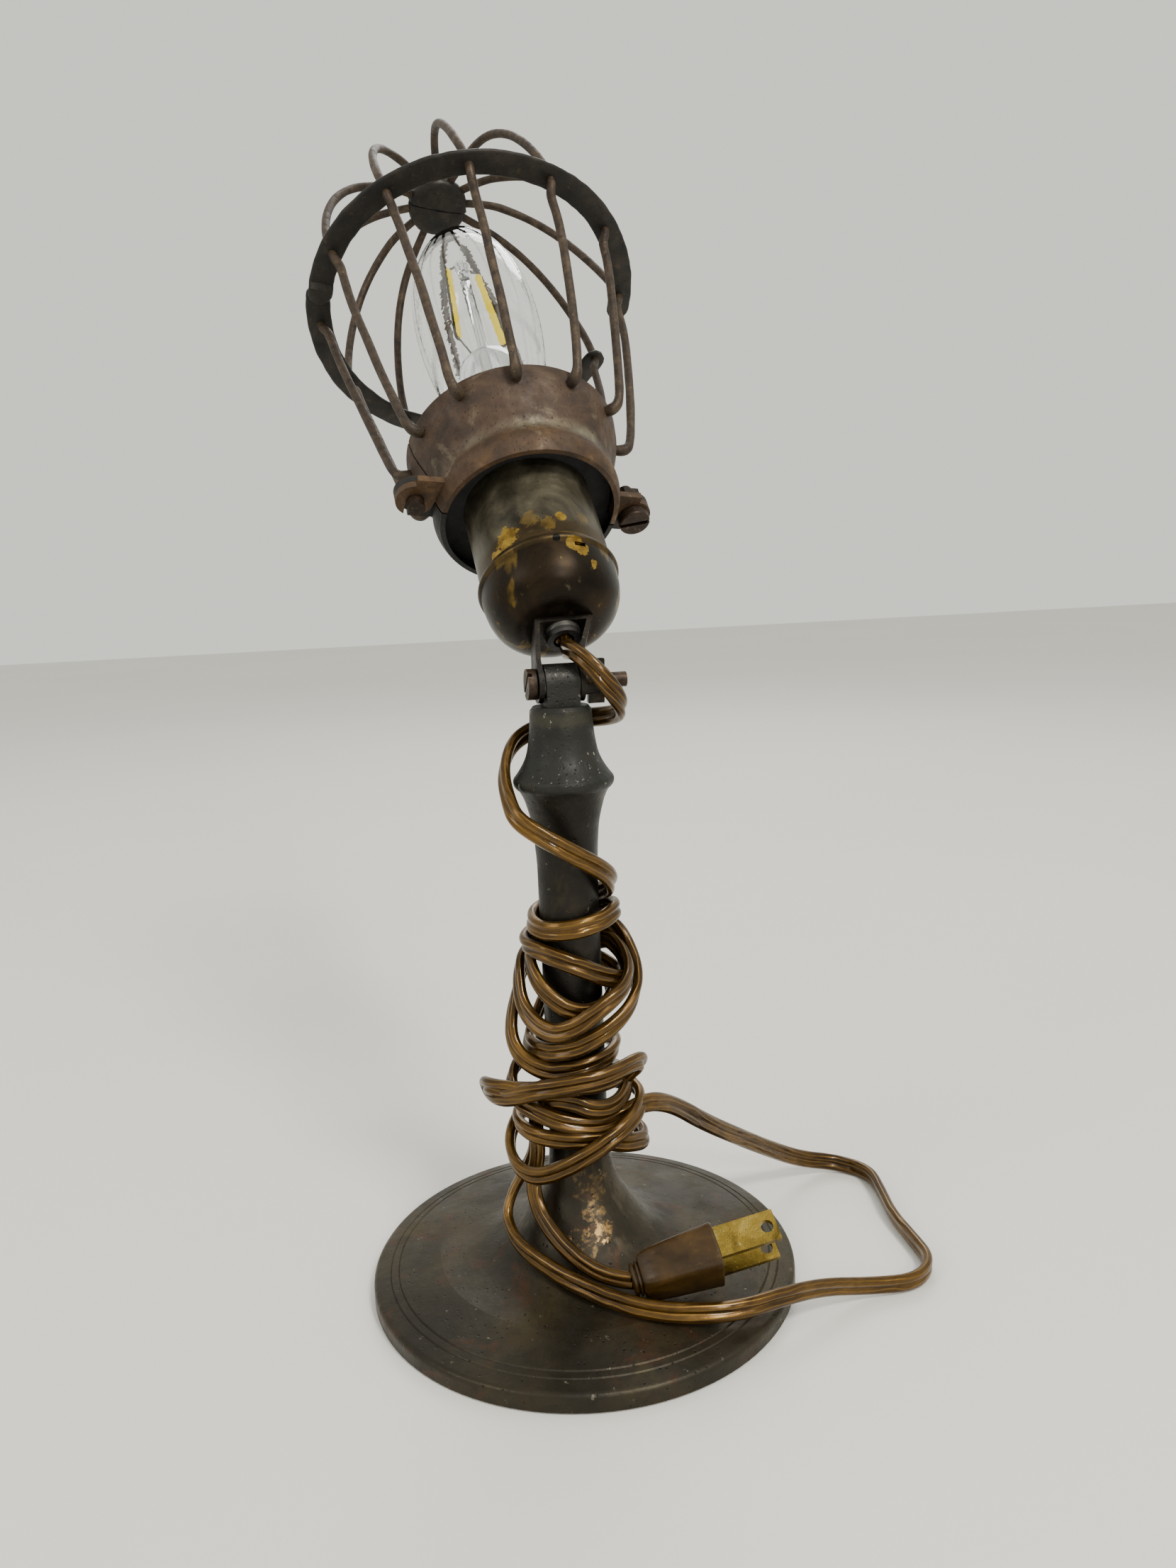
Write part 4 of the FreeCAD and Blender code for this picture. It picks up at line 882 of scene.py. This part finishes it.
def bulb_filaments():
    """Two glowing strips on dark carriers, one mesh for each material."""
    for size, back, face, name, key, slot in FILAMENT_LAYERS:
        strips = []
        for degrees in FILAMENT_ANGLES:
            low, high, across, lit = filament_line(math.radians(degrees))
            middle, half = (back + face) / 2, (face - back) / 2
            strip = []
            for share, scale in FILAMENT_ENDS:
                ring = []
                for j in range(FILAMENT_SIDES):
                    angle = 2 * math.pi * j / FILAMENT_SIDES
                    ring.append(HEAD @ (low.lerp(high, share)
                                        + across * (math.cos(angle) * size * scale)
                                        + lit * (middle + math.sin(angle) * half * scale)))
                strip.append(ring)
            strips.append(strip)
        piece = new_object(name, skin_mesh(name, *strips), MATERIALS[key])
        finish_piece(piece, "bulb", slot, "bulb_filaments")


# Profile of the glass flare and stem: radius and height along the head's axis.
STEM_PROFILE = [
    (10.2, 78.6), (11.0, 79.2), (11.2, 86.0), (10.7, 98.0), (10.2, 108.0), (9.9, 116.0),
    (9.2, 120.0), (7.4, 122.8), (4.6, 124.6), (2.6, 126.2), (1.9, 129.0), (1.6, 134.0),
    (1.6, 168.0), (2.4, 170.6), (2.5, 171.6), (1.6, 173.0), (0.3, 173.6)]
STEM_SIDES, STEM_RIPPLE = 48, 0.025


def bulb_stem():
    """Flare that closes the bulb's neck, drawn out into the stem, lightly rippled."""
    rows = []
    for radius, s in STEM_PROFILE:
        ring = []
        for i in range(STEM_SIDES):
            angle = 2 * math.pi * i / STEM_SIDES
            x, y = math.cos(angle), math.sin(angle)
            ripple = 1 + STEM_RIPPLE * wobble(x, y, s * 0.12)
            ring.append(HEAD @ Vector((radius * ripple * x, radius * ripple * y, s)))
        rows.append(ring)
    stem = new_object("bulb_stem_shape", skin_mesh("bulb_stem_shape", rows),
                      MATERIALS["stem_glass"])
    finish_piece(stem, "bulb", "stem_glass", "bulb_stem")


# ---- plug --------------------------------------------------------------------
def plug_brown():
    n = Nodes("plug_brown")
    cloud = n.noise(110.0, 5.0, 0.6, 0.5)
    colour = n.ramp(cloud, (0.32, srgb(46, 30, 6)), (0.54, srgb(66, 45, 11)),
                    (0.72, srgb(84, 59, 18)))
    dust = n.between(n.noise(600.0, 4.0, 0.75), 0.62, 0.70)
    colour = n.mix(dust, colour, srgb(140, 116, 70), 0.2)
    n.set(Base_Color=colour, Roughness=n.ramp(cloud, (0.3, 0.30), (0.7, 0.46)), IOR=1.5,
          Specular_IOR_Level=0.3)
    n.bump((n.noise(260.0, 4.0), 0.25, 0.4), (n.noise(1300.0, 3.0), 0.18, 0.12))


# The plug's frame: +X from the cord to the blades, +Y across the plug.
PLUG = (Matrix.Translation(Vector((5.4, -33.4, 16.4)) * MM)
        @ Matrix.Rotation(math.radians(-4), 4, "Z") @ Matrix.Rotation(math.radians(-11), 4, "Y")
        @ Matrix.Rotation(math.radians(-57), 4, "X") @ Matrix.Scale(MM, 4))
# Stations of the moulding: distance along the plug, width, thickness and squareness.
RELIEF_STATIONS = [
    (-0.3, 7.2, 5.0, 2.8), (-0.1, 8.4, 6.4, 3.4), (0.2, 9.0, 6.9, 3.8), (0.7, 9.0, 6.9, 3.8),
    (0.9, 8.0, 6.0, 3.2), (1.1, 8.0, 6.0, 3.2), (1.3, 9.4, 7.2, 3.8), (1.8, 9.4, 7.2, 3.8),
    (2.0, 8.4, 6.4, 3.4), (2.25, 8.4, 6.4, 3.4)]
BODY_STATIONS = [
    (2.1, 8.8, 7.0, 3.4), (2.2, 10.0, 7.9, 4.6), (2.45, 10.7, 8.5, 5.4), (3.0, 11.3, 8.9, 6.0),
    (4.0, 12.3, 9.4, 6.0), (5.4, 13.3, 9.9, 6.0), (8.0, 14.3, 10.3, 6.0), (11.0, 15.1, 10.6, 6.0),
    (14.0, 15.8, 10.9, 6.0), (17.0, 16.4, 11.1, 6.0), (19.4, 16.8, 11.3, 6.0),
    (20.9, 17.1, 11.5, 6.0), (21.8, 17.5, 11.7, 6.0), (22.3, 17.5, 11.7, 5.8),
    (22.55, 17.1, 11.3, 5.4), (22.6, 16.5, 10.8, 5.2), (22.3, 15.9, 10.3, 5.0),
    (21.8, 15.4, 9.8, 5.0), (21.7, 13.0, 8.0, 5.0)]
PLUG_SIDES = 72
MOULD_LINE = 0.13         # depth of the groove left by the mould
MOULD_LINE_WIDTH, MOULD_LINE_FROM, MOULD_LINE_TO = 0.05, 3.5, 21.5


def moulding(name, stations):
    """Skin through squarish sections, with a faint mould line along both broad faces."""
    rows = []
    for x, width, thick, power in stations:
        ring = []
        for i in range(PLUG_SIDES):
            angle = 2 * math.pi * (i + 0.5) / PLUG_SIDES
            c, d = math.cos(angle), math.sin(angle)
            a = math.copysign(abs(c) ** (2 / power), c) * width / 2
            b = math.copysign(abs(d) ** (2 / power), d) * thick / 2
            if abs(c) < MOULD_LINE_WIDTH and MOULD_LINE_FROM < x < MOULD_LINE_TO:
                b -= math.copysign(MOULD_LINE, b)
            ring.append(PLUG @ Vector((x, a, b)))
        rows.append(ring)
    piece = new_object(name, skin_mesh(name, rows), MATERIALS["plug_brown"])
    finish_piece(piece, "root", "plug_brown", name[:-6])
    return piece


def plain(name, colour, roughness, metallic=0.0, scale=200.0, bump=0.3):
    """Ordinary material of a hidden part: cloudy colour and a little texture."""
    n = Nodes(name)
    dark = [v * 0.72 for v in colour]
    rougher = min(roughness + 0.15, 1.0)
    n.set(Base_Color=n.ramp(n.noise(scale, 4.0), (0.3, srgb(*dark)), (0.7, srgb(*colour))),
          Roughness=n.ramp(n.noise(scale * 1.6), (0.3, roughness), (0.7, rougher)),
          Metallic=metallic)
    n.bump((n.noise(scale * 3.0), bump, 0.3),)


def make_materials():
    cord_material()
    stand_bronze()
    knuckle_bronze()
    holder_bronze()
    collar_steel("collar_steel", rear=False)
    collar_steel("collar_rear_shaded_steel", rear=True)
    worn_metal("bolt_steel", (30, 21, 14), (58, 42, 29), (84, 64, 46), (118, 100, 78))
    worn_metal("wing_brass", (20, 17, 12), (40, 33, 22), (66, 54, 32), (140, 108, 52))
    worn_metal("yoke_iron", (16, 14, 11), (32, 27, 20), (58, 49, 36), (104, 90, 66))
    worn_metal("hoop_black", (20, 18, 15), (38, 34, 29), (56, 49, 40), (84, 68, 48),
               metallic=0.45, rough=(0.42, 0.66), scale=120.0)
    worn_metal("rusty_wire", (36, 26, 18), (68, 53, 38), (94, 78, 58), (118, 104, 84),
               metallic=0.35, rough=(0.46, 0.70), scale=260.0)
    plain("packing", (20, 20, 22), 0.8)
    plain("bushing", (24, 20, 16), 0.5)
    plain("felt", (52, 74, 56), 0.95, scale=900.0, bump=0.8)
    plain("iron", (84, 82, 80), 0.6, 0.7)
    plain("steel", (148, 146, 140), 0.35, 0.9)
    plain("fibre", (112, 92, 62), 0.85, scale=400.0)
    plain("porcelain", (206, 202, 190), 0.25, bump=0.1)
    plain("brass", (176, 140, 66), 0.3, 0.9)
    plain("bulb_metal", (168, 164, 156), 0.3, 0.95)
    plain("bulb_black", (22, 22, 24), 0.25)
    clear_glass("bulb_glass", (1.0, 1.0, 1.0), 0.0)
    clear_glass("stem_glass", (0.80, 0.83, 0.82), 0.06, frosted_below=128.0)
    filament_glow()
    plain("filament_back", (44, 42, 40), 0.5, 0.3)
    plug_brown()
    worn_metal("blade_brass", (104, 84, 34), (160, 134, 58), (186, 162, 84), (222, 204, 140),
               metallic=0.9, rough=(0.26, 0.44), scale=130.0, pit=1100.0)


PAINT = {
    "cord_amber": ["cord_leads"],
    "stand_bronze": ["base_casting"],
    "knuckle_bronze": ["knuckle"],
    "holder_bronze": ["socket_cap", "socket_shell"],
    "collar_steel": ["collar_front"],
    "collar_rear_shaded_steel": ["collar_rear"],
    "bolt_steel": ["pivot_bolt", "latch_peg", "clamp_screw", "clamp_nut"],
    "wing_brass": ["wing_nut"],
    "yoke_iron": ["yoke"],
    "packing": ["packing_ring"],
    "bushing": ["cord_bushing"],
    "felt": ["base_felt"],
    "iron": ["base_weight"],
    "steel": ["tie_rod", "tie_rod_washer", "tie_rod_nut", "friction_washers", "cap_nipple",
              "nipple_nut", "bulb_leads"],
    "fibre": ["cap_liner", "shell_liner"],
    "porcelain": ["socket_body"],
    "brass": ["screw_shell", "centre_contact", "terminal_screws"],
    "bulb_metal": ["bulb_cap", "bulb_eyelet"],
    "bulb_black": ["bulb_insulator"],
    "bulb_glass": ["bulb_glass"],
    "blade_brass": ["plug_blades"],
}


def paint_nodes():
    """Gives the nodes that are seen as they are their materials."""
    for key, names in PAINT.items():
        for name in names:
            for slot in NODES[name].material_slots:
                slot.material = MATERIALS[key]


# ---- floor -------------------------------------------------------------------
def make_floor():
    bpy.ops.mesh.primitive_plane_add(size=FLOOR_SIZE, location=(0, 0, 0))
    floor = bpy.context.object
    floor.name = "floor"
    n = Nodes("floor_plain")
    n.set(Base_Color=n.ramp(n.noise(3.0), (0.3, (0.70, 0.69, 0.65)), (0.7, (0.73, 0.72, 0.68))),
          Roughness=0.75)
    floor.data.materials.append(n.material)


make_materials()
make_camera()
plug_pieces = [moulding("plug_relief_shape", RELIEF_STATIONS),
               moulding("plug_body_shape", BODY_STATIONS), "plug_blades"]
make_cord()
paint_nodes()
guard_wires("wires_front_shape", -1, "guard_front", 5)
guard_wires("wires_rear_shape", 1, "head", 11)
hoop_strip("hoop_front_shape", -185.0, -4.5, (-177.6, 1.6), "guard_front", 2)
hoop_strip("hoop_rear_shape", 12.0, 181.0, None, "head", 9)
hub_disc("hub_front_shape", True, "guard_front")
hub_disc("hub_rear_shape", False, "head")
bulb_filaments()
bulb_stem()
make_lights()
make_floor()
